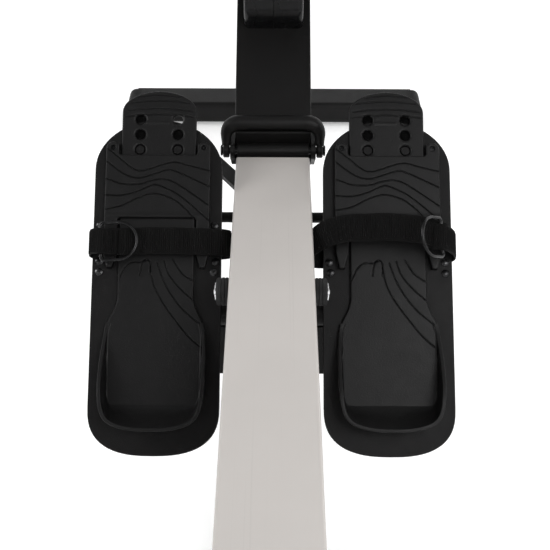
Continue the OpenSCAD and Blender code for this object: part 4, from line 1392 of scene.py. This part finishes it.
def segment_outline(which, w, h, t):
    """The low and high corner of one bar of a seven-bar digit."""
    bars = {
        "a": (t, h - t, w - t, h), "d": (t, 0, w - t, t), "g": (t, h / 2 - t / 2, w - t, h / 2 + t / 2),
        "f": (0, h / 2 + t / 3, t, h - t / 2), "b": (w - t, h / 2 + t / 3, w, h - t / 2),
        "e": (0, t / 2, t, h / 2 - t / 3), "c": (w - t, t / 2, w, h / 2 - t / 3),
    }
    return bars[which]


def ink_bar(name, low, high):
    """A dark bar on the display, from its low to its high corner."""
    bar = block_piece(name, (*low, -0.55), (*high, -0.3), CONSOLE)
    place_piece(bar, "console", "screen", material="ink")


def write_digits(name, digits, x, y, w, h):
    """Seven-bar digits w wide and h high, from (x, y) on."""
    t = h * 0.14
    for n, digit in enumerate(digits):
        if digit == ":":
            for k, dy in enumerate((0.3, 0.66)):
                middle = y + h * dy
                ink_bar(f"{name}_dot_{n}_{k}", (x - t / 2, middle - t / 2), (x + t / 2, middle + t / 2))
            x += w * 0.4
            continue
        for bar in DIGITS[digit]:
            x0, y0, x1, y1 = segment_outline(bar, w, h, t)
            ink_bar(f"{name}_{n}_{bar}", (x + x0, y + y0), (x + x1, y + y1))
        x += w * 1.35


def console_look():
    """Bezel, display figures and the two buttons' rings."""
    frame_line = [(72.4, 48.4), (-72.4, 48.4), (-72.4, -22.4), (72.4, -22.4)]
    corner = 5
    rim = []
    for (cx, cy), start in zip(frame_line, (0, 90, 180, 270)):
        mx = cx - corner * (1 if cx > 0 else -1)
        my = cy - corner * (1 if cy > 0 else -1)
        rim += [(px, py, 0) for px, py in arc(mx, my, corner, start, start + 90, 6)]
    section = [(-2.6, -1), (2.6, -1), (2.2, 0.9), (1.2, 1.5), (-1.2, 1.5), (-2.2, 0.9)]
    bezel = sweep("console_bezel", rim, section, CONSOLE, up=(0, 0, 1), closed=True)
    place_piece(bezel, "console", "gloss_black")
    write_digits("time", "12:40", -58, 14, 13, 24)
    write_digits("count", "386", 18, 14, 9, 17)
    write_digits("total", "1052", -58, -14, 8, 15)
    for k, x in enumerate((-40, 40)):
        place = CONSOLE @ Matrix.Translation((x, -41, 0)) @ turn(-90, "Y")
        ring = lathe(
            f"button_ring_{k}", [(-0.5, 11.6), (-0.5, 13.6), (0.7, 13.4), (1.3, 12.6), (0.7, 11.6)],
            place
        )
        place_piece(ring, "console", "gloss_black")


# ---- floor, light and camera, in metres ----


def area_light(name, place, aim, size, power):
    data = bpy.data.lights.new(name, "AREA")
    data.shape = "RECTANGLE"
    data.size, data.size_y = size
    data.energy = power
    light = bpy.data.objects.new(name, data)
    light.location = place
    light.rotation_euler = (Vector(aim) - Vector(place)).to_track_quat("-Z", "Y").to_euler()
    bpy.context.scene.collection.objects.link(light)


def studio():
    """A white floor under even light, and the camera above the seat end, looking down at the footplates."""
    bowl = [(0, 0), (0, 3), (0, 7)] + [
        (4 - 4 * cos(radians(a)), 7 + 4 * sin(radians(a)))
        for a in range(9, 91, 9)
    ]
    bowl.append((12, 11))
    floor = lathe("studio_floor", bowl, turn(-90, "Y"), 96, 60)
    white = Paint("studio_white", (0.93, 0.93, 0.93), 0.9, specular=0.05)
    white.shader.inputs["Emission Color"].default_value = (1, 1, 1, 1)
    white.shader.inputs["Emission Strength"].default_value = 0.34
    floor.data.materials.append(white.material)
    world = bpy.data.worlds.new("studio")
    world.use_nodes = True
    world.node_tree.nodes["Background"].inputs["Color"].default_value = (1, 1, 1, 1)
    world.node_tree.nodes["Background"].inputs["Strength"].default_value = 0.15
    bpy.context.scene.world = world
    area_light("near_box", (0.8, -0.95, 1.7), (0.05, -0.4, 0.35), (1.1, 0.8), 20)
    area_light("overhead", (0, 0.9, 3.0), (0, 0.5, 0), (3, 2.4), 12)
    area_light("left_box", (-1.5, -0.1, 1.5), (0, 0.1, 0.3), (0.4, 0.8), 15)
    area_light("right_back", (2.2, 1.6, 1.8), (0, 0.2, 0.35), (1.2, 1.6), 10)
    bpy.context.scene.view_settings.view_transform = "Standard"
    data = bpy.data.cameras.new("camera")
    data.lens = 62.64
    data.sensor_width = 36
    data.clip_start = 0.05
    camera = bpy.data.objects.new("camera", data)
    tilt = turn(50, "X") @ turn(0.27, "Z")
    camera.matrix_world = Matrix.Translation((0.0029, -0.55625, 0.9217)) @ tilt
    bpy.context.scene.collection.objects.link(camera)
    bpy.context.scene.camera = camera


plain_nodes()
softened_nodes()
footplates()
foot_straps()
strap_rings()
cross_tube_look()
stabilizer_feet()
stop_bumpers()
wheels_look()
bail_look()
strap_cover_look()
handle_look()
pull_strap_look()
seat_cushion()
housing_look()
knob_marks()
console_look()
studio()
bpy.context.view_layer.update()
